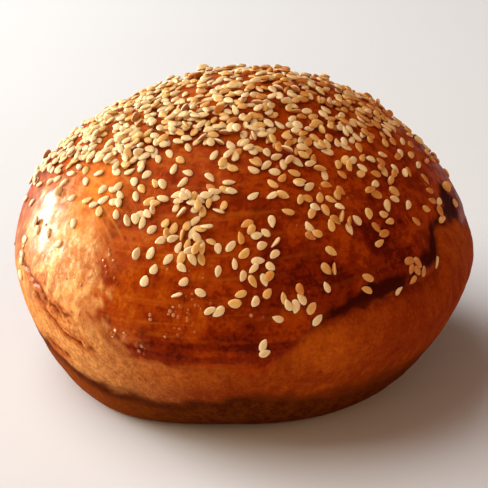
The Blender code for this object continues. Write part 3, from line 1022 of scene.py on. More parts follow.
def surface_frame(relief: CrustRelief, azimuth: float, arc: float) -> Matrix:
    """Returns a seat on the crust: X down the slope, Z out along the normal.

    Args:
        relief: the crust.
        azimuth: where round the bun, in degrees.
        arc: how far down from the top.

    Returns:
        A 4 by 4 matrix from the seat's own frame to the bun's.
    """
    step = 0.0006
    turn_step = 1.0
    arc = max(arc, 2 * step)
    azimuths = np.array([azimuth, azimuth, azimuth, azimuth + turn_step, azimuth - turn_step])
    arcs = np.array([arc, arc + step, arc - step, arc, arc])
    point, lower, upper, left, right = (Vector(p) for p in relief.points(azimuths, arcs))
    down = (lower - upper).normalized()
    normal = down.cross(left - right).normalized()
    seat = Matrix((down, normal.cross(down), normal)).transposed().to_4x4()
    return Matrix.Translation(point) @ seat


@dataclass(frozen=True)
class SeedPlan:
    """Where the seeds lie. The first repeat the solid's own, so its fused seeds lie under them."""

    skin: BunSkin
    draw: int = 41
    gap: float = 0.0014
    loose_gap: float = 0.0024
    edge_margin: float = 0.0030
    tries_per_seed: int = 40
    scattered: int = 110
    scatter_arc: float = 0.062
    scatter_least: float = 0.3
    lengths: Span = (0.0026, 0.0034)
    widths: Span = (0.00175, 0.00215)
    thicknesses: Span = (0.00075, 0.00095)
    leans: Span = (-14.0, 14.0)
    front: tuple[Drift, ...] = (
        Drift(196, 0.0045, 6.0, 23), Drift(237, 0.0200, 5.5, 34), Drift(182, 0.0250, 6.0, 38),
        Drift(343, 0.0170, 6.0, 26), Drift(347, 0.0325, 5.5, 22), Drift(290, 0.0175, 5.5, 22),
        Drift(278, 0.0270, 4.5, 18), Drift(319, 0.0295, 5.5, 14), Drift(298, 0.0350, 4.5, 8),
        Drift(186, 0.0420, 6.0, 28), Drift(184, 0.0485, 5.0, 11), Drift(176, 0.0590, 3.0, 6),
        Drift(217, 0.0370, 5.0, 26), Drift(236, 0.0465, 4.5, 19), Drift(259, 0.0400, 3.2, 12),
        Drift(255, 0.0485, 4.0, 14), Drift(256, 0.0545, 3.5, 9), Drift(274, 0.0525, 4.5, 17),
        Drift(295, 0.0435, 4.5, 14), Drift(295, 0.0533, 3.5, 6), Drift(316, 0.0480, 6.0, 13),
    )
    back: tuple[Drift, ...] = (
        Drift(60, 0.0095, 5.0, 14), Drift(15, 0.0240, 7.0, 24), Drift(60, 0.0260, 7.0, 28),
        Drift(100, 0.0240, 7.0, 28), Drift(140, 0.0260, 7.0, 26), Drift(10, 0.0440, 7.0, 18),
        Drift(45, 0.0470, 8.0, 24), Drift(90, 0.0450, 8.0, 28), Drift(128, 0.0440, 8.0, 28),
        Drift(158, 0.0500, 6.0, 20),
    )
    at_edge: tuple[Drift, ...] = (
        Drift(201, 0.0736, 1.5, 2), Drift(199, 0.0685, 1.5, 2), Drift(199, 0.0614, 2.0, 3),
        Drift(211, 0.0594, 2.0, 2), Drift(247, 0.0600, 0.8, 2), Drift(247, 0.0550, 1.2, 2),
        Drift(256, 0.0605, 0.2, 1), Drift(263, 0.0642, 1.6, 3), Drift(268, 0.0620, 1.2, 2),
        Drift(276, 0.0610, 1.6, 4), Drift(280, 0.0650, 1.6, 4), Drift(276, 0.0726, 1.4, 2),
        Drift(286, 0.0663, 1.6, 2), Drift(284, 0.0615, 1.2, 2), Drift(291, 0.0615, 0.3, 1),
        Drift(300, 0.0640, 1.6, 2), Drift(310, 0.0663, 0.3, 1), Drift(317, 0.0640, 2.2, 6),
        Drift(326, 0.0650, 0.3, 1), Drift(335, 0.0530, 3.5, 4),
    )
    # A bare patch's spread is its radius.
    bare: tuple[Drift, ...] = (
        Drift(252, 0.0310, 4.5, 0), Drift(268, 0.0370, 4.0, 0), Drift(302, 0.0400, 4.0, 0),
        Drift(227, 0.0610, 11.0, 0), Drift(239, 0.0560, 7.0, 0),
    )
    heap_draw: int = 5
    heap_gap: float = 0.0013
    heap: tuple[Drift, ...] = (
        Drift(170, 0.0400, 5.0, 15), Drift(187, 0.0320, 5.0, 12), Drift(150, 0.0340, 5.0, 13),
        Drift(160, 0.0220, 5.0, 14), Drift(130, 0.0250, 5.0, 13), Drift(110, 0.0150, 5.0, 8),
        Drift(80, 0.0200, 5.0, 8), Drift(50, 0.0190, 5.0, 6), Drift(15, 0.0200, 5.0, 9),
        Drift(12, 0.0270, 5.0, 9), Drift(357, 0.0320, 4.0, 6), Drift(250, 0.0110, 4.0, 7),
        Drift(203, 0.0220, 4.0, 8), Drift(251, 0.0150, 4.5, 12), Drift(285, 0.0140, 4.5, 14),
        Drift(312, 0.0150, 4.5, 12), Drift(337, 0.0230, 4.5, 12), Drift(228, 0.0200, 4.5, 10),
        Drift(120, 0.0280, 6.0, 14), Drift(165, 0.0330, 5.0, 10), Drift(95, 0.0240, 5.0, 8),
        Drift(352, 0.0300, 4.5, 8), Drift(320, 0.0085, 3.5, 9), Drift(355, 0.0110, 3.5, 8),
        Drift(277, 0.0277, 4.0, 6), Drift(284, 0.0236, 4.5, 10), Drift(267, 0.0232, 4.5, 10),
        Drift(316, 0.0273, 4.5, 8), Drift(324, 0.0338, 4.5, 10), Drift(299, 0.0263, 4.0, 4),
        Drift(287, 0.0311, 3.5, 2), Drift(248, 0.0188, 4.5, 10), Drift(226, 0.0229, 4.5, 11),
        Drift(216, 0.0297, 4.5, 10), Drift(204, 0.0372, 5.0, 12), Drift(191, 0.0420, 4.5, 10),
        Drift(172, 0.0490, 4.0, 8), Drift(75, 0.0350, 7.0, 16), Drift(36, 0.0330, 5.0, 6),
        Drift(212, 0.0335, 4.5, 10), Drift(222, 0.0265, 4.5, 9), Drift(200, 0.0300, 4.5, 9),
        Drift(230, 0.0130, 4.5, 9), Drift(270, 0.0100, 4.5, 8), Drift(257, 0.0410, 3.5, 7),
        Drift(254, 0.0500, 3.5, 6), Drift(246, 0.0435, 3.5, 6),
    )

    def is_clear(self, spots: list[Spot], x: float, y: float, gap: float) -> bool:
        """Says whether no chosen spot lies within the gap of a place."""
        return all((x - spot[0]) ** 2 + (y - spot[1]) ** 2 >= gap * gap for spot in spots)

    def is_bare(self, x: float, y: float) -> bool:
        """Says whether a place lies in one of the crown's bare patches."""
        return any(math.dist(patch.middle, (x, y)) < patch.spread * MM for patch in self.bare)

    def draw_drift(
        self, rng: random.Random, spots: list[Spot], drift: Drift, margin: float
    ) -> None:
        """Adds a drift's spots, thickest at its middle.

        Args:
            rng: the seeded draws.
            spots: the places chosen so far, added to.
            drift: the patch of seeds.
            margin: how far the seeds keep from the glaze's edge.
        """
        laid = 0
        for _ in range(drift.count * self.tries_per_seed):
            x, y = drift.draw(rng)
            azimuth, arc = place_on_skin(x, y)
            on_crown = arc < self.skin.stepped_edge_arc(azimuth) - margin
            if laid < drift.count and on_crown and self.is_clear(spots, x, y, self.gap):
                spots.append((x, y, margin == 0.0))
                laid += 1

    def draw_scatter(self, rng: random.Random, spots: list[Spot]) -> None:
        """Adds single spots all over the crown outside its bare patches.

        Args:
            rng: the seeded draws.
            spots: the places chosen so far, added to.
        """
        laid = 0
        while laid < self.scattered:
            x = rng.uniform(-self.scatter_arc, self.scatter_arc)
            y = rng.uniform(-self.scatter_arc, self.scatter_arc)
            reach = self.scatter_arc * math.sqrt(rng.uniform(self.scatter_least, 1.0))
            on_crown = math.hypot(x, y) < reach
            if on_crown and not self.is_bare(x, y) and self.is_clear(spots, x, y, self.loose_gap):
                spots.append((x, y, False))
                laid += 1

    def seeds(self) -> list[Seed]:
        """Draws the seeds that the solid's source draws too.

        Returns:
            The seeds, those along the glaze's edge first and then from the longest down.
        """
        rng = random.Random(self.draw)
        spots: list[Spot] = []
        for drift in self.at_edge:
            self.draw_drift(rng, spots, drift, 0.0)
        for drift in self.front + self.back:
            self.draw_drift(rng, spots, drift, self.edge_margin)
        self.draw_scatter(rng, spots)
        return sorted(self.sized(rng, spots), key=lambda seed: (not seed.at_edge, -seed.length))

    def heaped(self) -> list[Seed]:
        """Draws the seeds that lie heaped on the others over the top and the back.

        Returns:
            The seeds.
        """
        rng = random.Random(self.heap_draw)
        spots: list[Spot] = []
        for drift in self.heap:
            laid = 0
            while laid < drift.count:
                x, y = drift.draw(rng)
                if self.is_clear(spots, x, y, self.heap_gap):
                    spots.append((x, y, False))
                    laid += 1
        return self.sized(rng, spots)

    def sized(self, rng: random.Random, spots: list[Spot]) -> list[Seed]:
        """Gives each spot a seed with a turn, a lean and a size.

        Args:
            rng: the seeded draws.
            spots: the places, and whether each is at the glaze's edge.

        Returns:
            One seed a spot.
        """
        spans = ((0.0, 360.0), self.leans, self.lengths, self.widths, self.thicknesses)
        seeds = []
        for x, y, at_edge in spots:
            drawn = [rng.uniform(*span) for span in spans]
            seeds.append(Seed(*place_on_skin(x, y), *drawn, at_edge))
        return seeds


@dataclass(frozen=True)
class SeedBody:
    """The shape of one hulled sesame seed: a plump, flat teardrop with a soft rim."""

    sides: int = 18
    rings: int = 7
    ring_reach: float = 78.0
    roundness: float = 0.80
    slimness: Span = (0.72, 0.92)
    length_share: float = 0.92
    breadth: float = 0.58
    fullness: float = 1.12
    tip_thinning: float = 0.25
    thinning_from: float = -0.4
    tips: Span = (0.10, 0.60)
    bends: Span = (-0.10, 0.14)
    dishes: Span = (-0.05, 0.22)
    skews: Span = (-0.10, 0.10)
    waver: float = 0.02
    waver_count: int = 3
    waver_phases: Span = (0.0, 6.28)
    rim_power: int = 3
    foot_rise: float = 26.0

    def points(self, seed: Seed, rng: random.Random) -> tuple[np.ndarray, np.ndarray, np.ndarray]:
        """Returns one seed's points, how near its rim each is and how far under it.

        Args:
            seed: its size.
            rng: the seeded draws for what is uneven in it.

        Returns:
            An N by 3 array in the seed's own frame, lying flat, rim values from 0 in
            the middle of a face to 1 at the rim, and foot values, 1 on the underside.
        """
        tip = rng.uniform(*self.tips)
        half_length = 0.5 * seed.length * self.length_share
        width = seed.width * rng.uniform(*self.slimness)
        half_thickness = 0.5 * seed.thickness * self.fullness
        bend = rng.uniform(*self.bends) * seed.thickness
        dish = rng.uniform(*self.dishes) * seed.thickness
        skew = rng.uniform(*self.skews) * seed.width
        turns = 2.0 * np.pi * np.arange(self.sides) / self.sides
        phase = rng.uniform(*self.waver_phases)
        waver = 1.0 + self.waver * np.sin(self.waver_count * turns + phase)
        outline_x = half_length * np.cos(turns)
        outline_y = self.breadth * width * np.sin(turns) * np.abs(np.sin(turns / 2.0)) ** tip
        points = [np.array([[0.0, 0.0, -half_thickness]])]
        rims = [np.zeros(1)]
        feet = [np.ones(1)]
        for rise in np.radians(np.linspace(-self.ring_reach, self.ring_reach, self.rings)):
            share = math.cos(rise) ** self.roundness
            x = outline_x * share * waver
            end = x / half_length
            thinned_and_sheen = 1.0 - self.tip_thinning * np.clip(end, self.thinning_from, 1.0)
            z = half_thickness * math.sin(rise) * thinned_and_sheen + bend * end**2
            z -= dish * (1.0 - share) if rise > 0 else 0.0
            points.append(np.stack([x, outline_y * share * waver + skew * end**2, z], axis=1))
            rims.append(np.full(self.sides, share**self.rim_power))
            feet.append(np.full(self.sides, held(-math.degrees(rise) / self.foot_rise)))
        points.append(np.array([[0.0, 0.0, half_thickness - dish]]))
        rims.append(np.zeros(1))
        feet.append(np.zeros(1))
        return np.concatenate(points), np.concatenate(rims), np.concatenate(feet)

    def faces(self, first: int) -> Faces:
        """Joins one seed's points.

        Args:
            first: the index of its first point.

        Returns:
            The seed's faces.
        """
        last = first + 1 + self.rings * self.sides
        faces = fan_faces(first + 1, self.sides, first, upward=False)
        faces += fan_faces(last - self.sides, self.sides, last)
        return faces + ring_faces(first + 1, self.sides, self.rings)


@dataclass(frozen=True)
class SeedCoat:
    """All the seeds, laid on the crust and leaning on each other where they overlap."""

    relief: CrustRelief
    plan: SeedPlan
    body: SeedBody = SeedBody()
    draw: int = 7
    kind_shares: tuple[tuple[SeedKind, float], ...] = (
        (SeedKind.PALE, 0.62),
        (SeedKind.GOLDEN, 0.90),
        (SeedKind.TOASTED, 1.0),
    )
    # Seeds toward the right and the back get darker, more golden tones and kinds: partly baking,
    # partly painted shade.
    shade_and_baking_on_right: float = 7.0
    shade_and_baking_behind: float = 4.0
    behind: float = -0.020
    tone_by_chance: float = 0.75
    tone_by_shade_and_baking: float = 1.8
    on_edge_share: float = 0.09
    on_edge_leans: Span = (48.0, 78.0)
    sunk: float = 0.00022
    footprint_rings: tuple[float, ...] = (0.0, 0.55, 0.92)
    footprint_sides: int = 10
    near_lengths: float = 1.2
    tilts: tuple[float, ...] = (0.0, 7.0, 14.0, 21.0, 28.0)
    tilt_sides: int = 8
    tilt_cost: float = 0.00002
    most_heap: float = 0.0021

    def footprint(self, seed: Seed, lean: float) -> tuple[np.ndarray, np.ndarray, np.ndarray]:
        """Returns points over a leaning seed's underside.

        Args:
            seed: the seed.
            lean: how far it leans about its long axis, in radians.

        Returns:
            Their X, Y and Z in the seed's seat, from the seed's middle.
        """
        half_across = math.hypot(seed.width * math.cos(lean), seed.thickness * math.sin(lean)) / 2
        half_up = math.hypot(seed.thickness * math.cos(lean), seed.width * math.sin(lean)) / 2
        turns = np.arange(self.footprint_sides) * 2.0 * np.pi / self.footprint_sides
        share, turn = (grid.ravel() for grid in np.meshgrid(self.footprint_rings, turns))
        x = 0.5 * seed.length * share * np.cos(turn)
        y = half_across * share * np.sin(turn)
        return x, y, -half_up * np.sqrt(1.0 - share**2)

    def pile_height(
        self, seat: Matrix, x: np.ndarray, y: np.ndarray, near: list[Matrix]
    ) -> np.ndarray:
        """Returns how high the seeds already laid stand over points of a seat.

        Args:
            seat: the new seed's seat on the crust.
            x: the points' X in the seat.
            y: the points' Y in the seat.
            near: the laid seeds close by, as matrices that scale a unit ball.

        Returns:
            The heights, 0 where only crust lies below.
        """
        turn = np.array(seat.to_3x3())
        origins = np.array(seat.to_translation()) + x[:, None] * turn[:, 0] + y[:, None] * turn[:, 1]
        tops = np.zeros(len(x))
        for ball in near:
            away = np.array(ball.inverted())
            start = origins @ away[:3, :3].T + away[:3, 3]
            way = away[:3, :3] @ turn[:, 2]
            half_b = start @ way
            room = half_b**2 - (way @ way) * ((start**2).sum(axis=1) - 1.0)
            hit = (-half_b + np.sqrt(np.maximum(room, 0.0))) / (way @ way)
            tops = np.maximum(tops, np.where(room > 0.0, hit, 0.0))
        return tops

    def rest(self, seed: Seed, lean: float, seat: Matrix, near: list[Matrix]) -> Matrix:
        """Finds how a seed comes to rest on the crust and on the seeds below it.

        Args:
            seed: the seed to lay.
            lean: how far it leans about its long axis, in radians.
            seat: its seat on the crust, turned with the seed.
            near: the laid seeds close by.

        Returns:
            The matrix that lays the seed there.
        """
        x, y, z = self.footprint(seed, lean)
        tops = self.pile_height(seat, x, y, near)
        best = (math.inf, 0.0, 0.0, 0.0)
        for tilt in self.tilts:
            for side in range(self.tilt_sides if tilt else 1):
                way = 2.0 * math.pi * side / self.tilt_sides
                rise = math.tan(math.radians(tilt)) * (x * math.cos(way) + y * math.sin(way))
                height = float(np.max(tops - z - rise))
                cost = height + self.tilt_cost * tilt
                if cost < best[0]:
                    best = (cost, height, tilt, way)
        _, height, tilt, way = best
        axis = Vector((math.sin(way), -math.cos(way), 0.0))
        lifted = seat @ Matrix.Translation((0.0, 0.0, height - self.sunk))
        return lifted @ Matrix.Rotation(math.radians(tilt), 4, axis) @ Matrix.Rotation(lean, 4, "X")

    def lay(self) -> dict[SeedKind, list[tuple[Seed, Matrix, float]]]:
        """Lays the seeds one after the other, and leaves out those that would heap too high.

        Returns:
            Each kind's seeds, with the matrices that lay them and how far each is toned, partly by
            baking and partly as painted shade.
        """
        rng = random.Random(self.draw)
        laid: list[Matrix] = []
        piles: dict[SeedKind, list] = {kind: [] for kind in SeedKind}
        middles = np.empty((0, 3))
        for seed in self.plan.seeds() + self.plan.heaped():
            turn = math.radians(seed.azimuth)
            # Partly painted shade: seeds toward the right and the back are toned darker and more
            # golden.
            baked = self.shade_and_baking_on_right * seed.arc * math.cos(turn)
            baked += self.shade_and_baking_behind * max(0.0, seed.arc * math.sin(turn) - self.behind)
            pick = min(1.0, rng.random() + baked)
            kind = next(kind for kind, share in self.kind_shares if pick <= share)
            on_edge = rng.random() < self.on_edge_share and not seed.at_edge
            lean = math.radians(rng.uniform(*self.on_edge_leans) if on_edge else seed.lean)
            turned = Matrix.Rotation(math.radians(seed.turn), 4, "Z")
            seat = surface_frame(self.relief, seed.azimuth, seed.arc) @ turned
            middle = np.array(seat.to_translation())
            apart = np.linalg.norm(middles - middle, axis=1)
            close = np.flatnonzero(apart < self.near_lengths * seed.length)
            place = self.rest(seed, lean, seat, [laid[index] for index in close])
            if (place.to_translation() - seat.to_translation()).length > self.most_heap:
                continue
            half = Matrix.Diagonal((0.5 * seed.length, 0.5 * seed.width, 0.5 * seed.thickness, 1.0))
            laid.append(place @ half)
            middles = np.vstack([middles, middle])
            tone = self.tone_by_chance * rng.random() + self.tone_by_shade_and_baking * baked
            piles[kind].append((seed, place, min(1.0, max(0.0, tone))))
        return piles

    def build(self) -> dict[SeedKind, bpy.types.Object]:
        """Joins the seeds of each kind into one mesh.

        Returns:
            The new objects, by kind.
        """
        rng = random.Random(self.draw + 1)
        pieces = {}
        for kind, pile in self.lay().items():
            points, rims, feet, tones, faces = [], [], [], [], []
            count = 0
            for seed, place, tone in pile:
                body, rim, foot = self.body.points(seed, rng)
                turn = np.array(place.to_3x3())
                points.append(body @ turn.T + np.array(place.to_translation()))
                rims.append(rim)
                feet.append(foot)
                tones.append(np.full(len(body), tone))
                faces += self.body.faces(count)
                count += len(body)
            layers = {"rim": rims, "foot": feet, "tone": tones}
            masks = {name: np.concatenate(values) for name, values in layers.items()}
            pieces[kind] = make_mesh(kind.value + "s", np.concatenate(points), faces, masks)
            log.info("%s: %d seeds, %d faces", kind.value, len(pile), len(faces))
        return pieces


class Sheet:
    """A node tree, with short calls that add nodes and join them.

    It keeps marks, which are masks and what is made of them, by name. A value in its
    calls is a number, a tuple, a socket or the name of a mark.
    """

    def __init__(self, tree: bpy.types.NodeTree) -> None:
        """Keeps the tree and clears it.

        Args:
            tree: the node tree of a material or a group.
        """
        self.tree = tree
        self.marks: dict[str, Socket] = {}
        tree.nodes.clear()

    def add(self, kind: str, **settings: object) -> bpy.types.Node:
        """Adds a node.

        Args:
            kind: the node's type.
            **settings: its settings, by name.

        Returns:
            The node.
        """
        node = self.tree.nodes.new(kind)
        for name, value in settings.items():
            setattr(node, name, value)
        return node

    def join(self, value: Value, socket: Socket) -> None:
        """Feeds a socket.

        Args:
            value: what feeds it.
            socket: the socket to feed.
        """
        if isinstance(value, str):
            value = self.marks[value]
        if isinstance(value, bpy.types.NodeSocket):
            self.tree.links.new(value, socket)
        else:
            socket.default_value = value

    def feed(self, node: bpy.types.Node, values: dict[str | int, Value]) -> bpy.types.NodeOutputs:
        """Feeds a node.

        Args:
            node: the node.
            values: what feeds its inputs, by their names or places.

        Returns:
            The node's outputs.
        """
        for name, value in values.items():
            self.join(value, node.inputs[name])
        return node.outputs

    def math(self, operation: str, first: Value, second: Value, clamp: bool = False) -> Socket:
        """Returns a step of arithmetic on two numbers, held between 0 and 1 if asked."""
        node = self.add("ShaderNodeMath", operation=operation, use_clamp=clamp)
        return self.feed(node, {0: first, 1: second})[0]

    def times(self, first: Value, second: Value, clamp: bool = False) -> Socket:
        """Returns the product of two numbers, held between 0 and 1 if asked."""
        return self.math("MULTIPLY", first, second, clamp)

    def sum(self, base: float, parts: Parts, clamp: bool = False) -> Socket:
        """Adds up a base value and parts.

        Args:
            base: the value to start from.
            parts: values, each with the factor that it counts with.
            clamp: whether the sum is held between 0 and 1.

        Returns:
            The sum.
        """
        total = base
        for count, (value, factor) in enumerate(parts, start=1):
            product = self.times(value, factor)
            total = self.math("ADD", total, product, clamp and count == len(parts))
        return total

    def vector(self, operation: str, first: Value, second: Value) -> bpy.types.NodeOutputs:
        """Returns the outputs of a step of arithmetic on two vectors."""
        node = self.add("ShaderNodeVectorMath", operation=operation)
        return self.feed(node, {0: first, 1: second})

    def mix(self, share: Value, first: Value, second: Value) -> Socket:
        """Returns a mix of two colours, with a share of the second."""
        node = self.add("ShaderNodeMix", data_type="RGBA")
        return self.feed(node, {"Factor": share, 6: first, 7: second})[2]

    def ramp(self, value: Value, stops: tuple[tuple[float, Color], ...]) -> Socket:
        """Turns a value into a colour.

        Args:
            value: the value.
            stops: places from 0 to 1 and their colours.

        Returns:
            The colour, eased from stop to stop.
        """
        node = self.add("ShaderNodeValToRGB")
        ramp = node.color_ramp
        ramp.interpolation = "EASE"
        while len(ramp.elements) < len(stops):
            ramp.elements.new(0.5)
        for element, (place, color) in zip(ramp.elements, stops):
            element.position = place
            element.color = color
        self.join(value, node.inputs["Fac"])
        return node.outputs["Color"]

    def read_masks(self, names: tuple[str, ...]) -> None:
        """Keeps the masks on the mesh's points as marks."""
        for name in names:
            self.marks[name] = self.add("ShaderNodeAttribute", attribute_name=name).outputs["Fac"]

    def place(self) -> Socket:
        """Returns the place on the bun."""
        return self.add("ShaderNodeTexCoord").outputs["Object"]

    def noise(self, place: Value, detail: Value) -> Socket:
        """Returns noise with lumps of about unit size."""
        node = self.add("ShaderNodeTexNoise")
        return self.feed(node, {"Vector": place, "Scale": 1.0, "Detail": detail})["Fac"]

    def smooth(self, value: Value, low: Value, high: Value) -> Socket:
        """Returns a smooth rise from 0 at low to 1 at high."""
        node = self.add("ShaderNodeMapRange", interpolation_type="SMOOTHSTEP")
        return self.feed(node, {"Value": value, "From Min": low, "From Max": high})["Result"]

    def bump(self, height: Value, strength: float, distance: float) -> Socket:
        """Returns the normal of a relief whose height 1 stands at a distance."""
        looks = {"Strength": strength, "Distance": distance, "Height": height}
        return self.feed(self.add("ShaderNodeBump"), looks)["Normal"]

    def group(self, group: bpy.types.NodeTree, **values: Value) -> Socket:
        """Returns what a node group gives, with its inputs fed by name."""
        return self.feed(self.add("ShaderNodeGroup", node_tree=group), values)[0]


def new_group(
    name: str, inputs: dict[str, Value], output: str
) -> tuple[bpy.types.NodeTree, Sheet, bpy.types.NodeOutputs, Socket]:
    """Starts a node group that gives one number.

    Args:
        name: the group's name.
        inputs: each input's default, by name.
        output: the name of what it gives.

    Returns:
        The group, its sheet, its inputs as seen from inside, and the socket that it
        gives.
    """
    group = bpy.data.node_groups.new(name, "ShaderNodeTree")
    for title, default in inputs.items():
        kind = "NodeSocketVector" if isinstance(default, tuple) else "NodeSocketFloat"
        socket = group.interface.new_socket(name=title, in_out="INPUT", socket_type=kind)
        socket.default_value = default
    group.interface.new_socket(name=output, in_out="OUTPUT", socket_type="NodeSocketFloat")
    sheet = Sheet(group)
    given = sheet.add("NodeGroupInput").outputs
    return group, sheet, given, sheet.add("NodeGroupOutput").inputs[output]


def new_material(name: str) -> tuple[bpy.types.Material, Sheet, bpy.types.Node]:
    """Starts a material.

    Args:
        name: the material's name.

    Returns:
        The material, its sheet and its shader.
    """
    material = bpy.data.materials.new(name)
    material.use_nodes = True
    sheet = Sheet(material.node_tree)
    shader = sheet.add("ShaderNodeBsdfPrincipled")
    output = sheet.add("ShaderNodeOutputMaterial")
    sheet.join(shader.outputs[0], output.inputs["Surface"])
    return material, sheet, shader


class Mottle(NamedTuple):
    """A layer of soft blotches: fineness along X, Y and Z, detail, range and turn about Y."""

    scale: tuple[float, float, float]
    detail: float
    low: float
    high: float
    turn: float = 0.0


class Effects:
    """The node groups that more than one finish uses."""

    brush_detail: float = 3.0

    def __init__(self) -> None:
        """Builds the groups."""
        self.mottle = self.build_mottle()
        self.pores = self.build_pores()
        self.brush_arcs = self.build_brush_arcs()

    def blotches(self, sheet: Sheet, mottle: Mottle) -> Socket:
        """Places one layer of soft blotches.

        Args:
            sheet: the material's sheet.
            mottle: the layer.

        Returns:
            Values from 0 to 1.
        """
        turn = (0.0, mottle.turn, 0.0)
        span = {"Low": mottle.low, "High": mottle.high}
        return sheet.group(self.mottle, Scale=mottle.scale, Turn=turn, Detail=mottle.detail, **span)

    def build_mottle(self) -> bpy.types.NodeTree:
        """Makes a group that gives soft blotches, stretched and turned as asked.

        Returns:
            The group.
        """
        inputs = {
            "Scale": (100.0, 100.0, 100.0),
            "Turn": (0.0, 0.0, 0.0),
            "Detail": 3.0,
            "Low": 0.3,
            "High": 0.7,
        }
        group, sheet, given, result = new_group("mottle", inputs, "Mask")
        turn = sheet.add("ShaderNodeVectorRotate", rotation_type="EULER_XYZ")
        turned = sheet.feed(turn, {"Vector": sheet.place(), "Rotation": given["Turn"]})
        scaled = sheet.vector("MULTIPLY", turned["Vector"], given["Scale"])
        texture = sheet.noise(scaled["Vector"], given["Detail"])
        sheet.join(sheet.smooth(texture, given["Low"], given["High"]), result)
        return group

    def build_brush_arcs(self) -> bpy.types.NodeTree:
        """Makes a group that gives fine brush marks, swept in arcs round a point.

        Returns:
            The group.
        """
        inputs = {
            "Centre": (0.0, 0.0, 0.0),
            "Fineness": 600.0,
            "Along": (30.0, 30.0, 30.0),
            "Low": 0.5,
            "High": 0.75,
        }
        group, sheet, given, result = new_group("brush_arcs", inputs, "Mask")
        place = sheet.place()
        apart = sheet.vector("DISTANCE", place, given["Centre"])["Value"]
        slow = sheet.vector("MULTIPLY", place, given["Along"])["Vector"]
        parts = sheet.feed(sheet.add("ShaderNodeSeparateXYZ"), {"Vector": slow})
        across = sheet.math("ADD", sheet.times(apart, given["Fineness"]), parts["X"])
        ends = {"X": across, "Y": parts["Y"], "Z": parts["Z"]}
        joined = sheet.feed(sheet.add("ShaderNodeCombineXYZ"), ends)
        texture = sheet.noise(joined["Vector"], self.brush_detail)
        sheet.join(sheet.smooth(texture, given["Low"], given["High"]), result)
        return group

    def build_pores(self) -> bpy.types.NodeTree:
        """Makes a group that gives small round pits, 1 in a pit and 0 between them.

        Returns:
            The group.
        """
        inputs = {"Scale": 900.0, "Radius": 0.25, "Share": 0.5}
        group, sheet, given, result = new_group("pores", inputs, "Pit")
        texture = sheet.add("ShaderNodeTexVoronoi", feature="F1")
        cells = sheet.feed(texture, {"Vector": sheet.place(), "Scale": given["Scale"]})
        fall = sheet.smooth(cells["Distance"], given["Radius"], 0.0)
        tints = sheet.feed(sheet.add("ShaderNodeSeparateColor"), {"Color": cells["Color"]})
        chosen = sheet.math("LESS_THAN", tints["Red"], given["Share"])
        sheet.join(sheet.times(fall, chosen), result)
        return group


class Blend(NamedTuple):
    """A mark made of two others: the first, times a base plus the second times a factor."""

    name: str
    first: str
    base: float
    second: str
    factor: float


class Wash(NamedTuple):
    """A colour laid over those before it, where a mark is and to a share."""

    mark: str
    share: float
    color: str


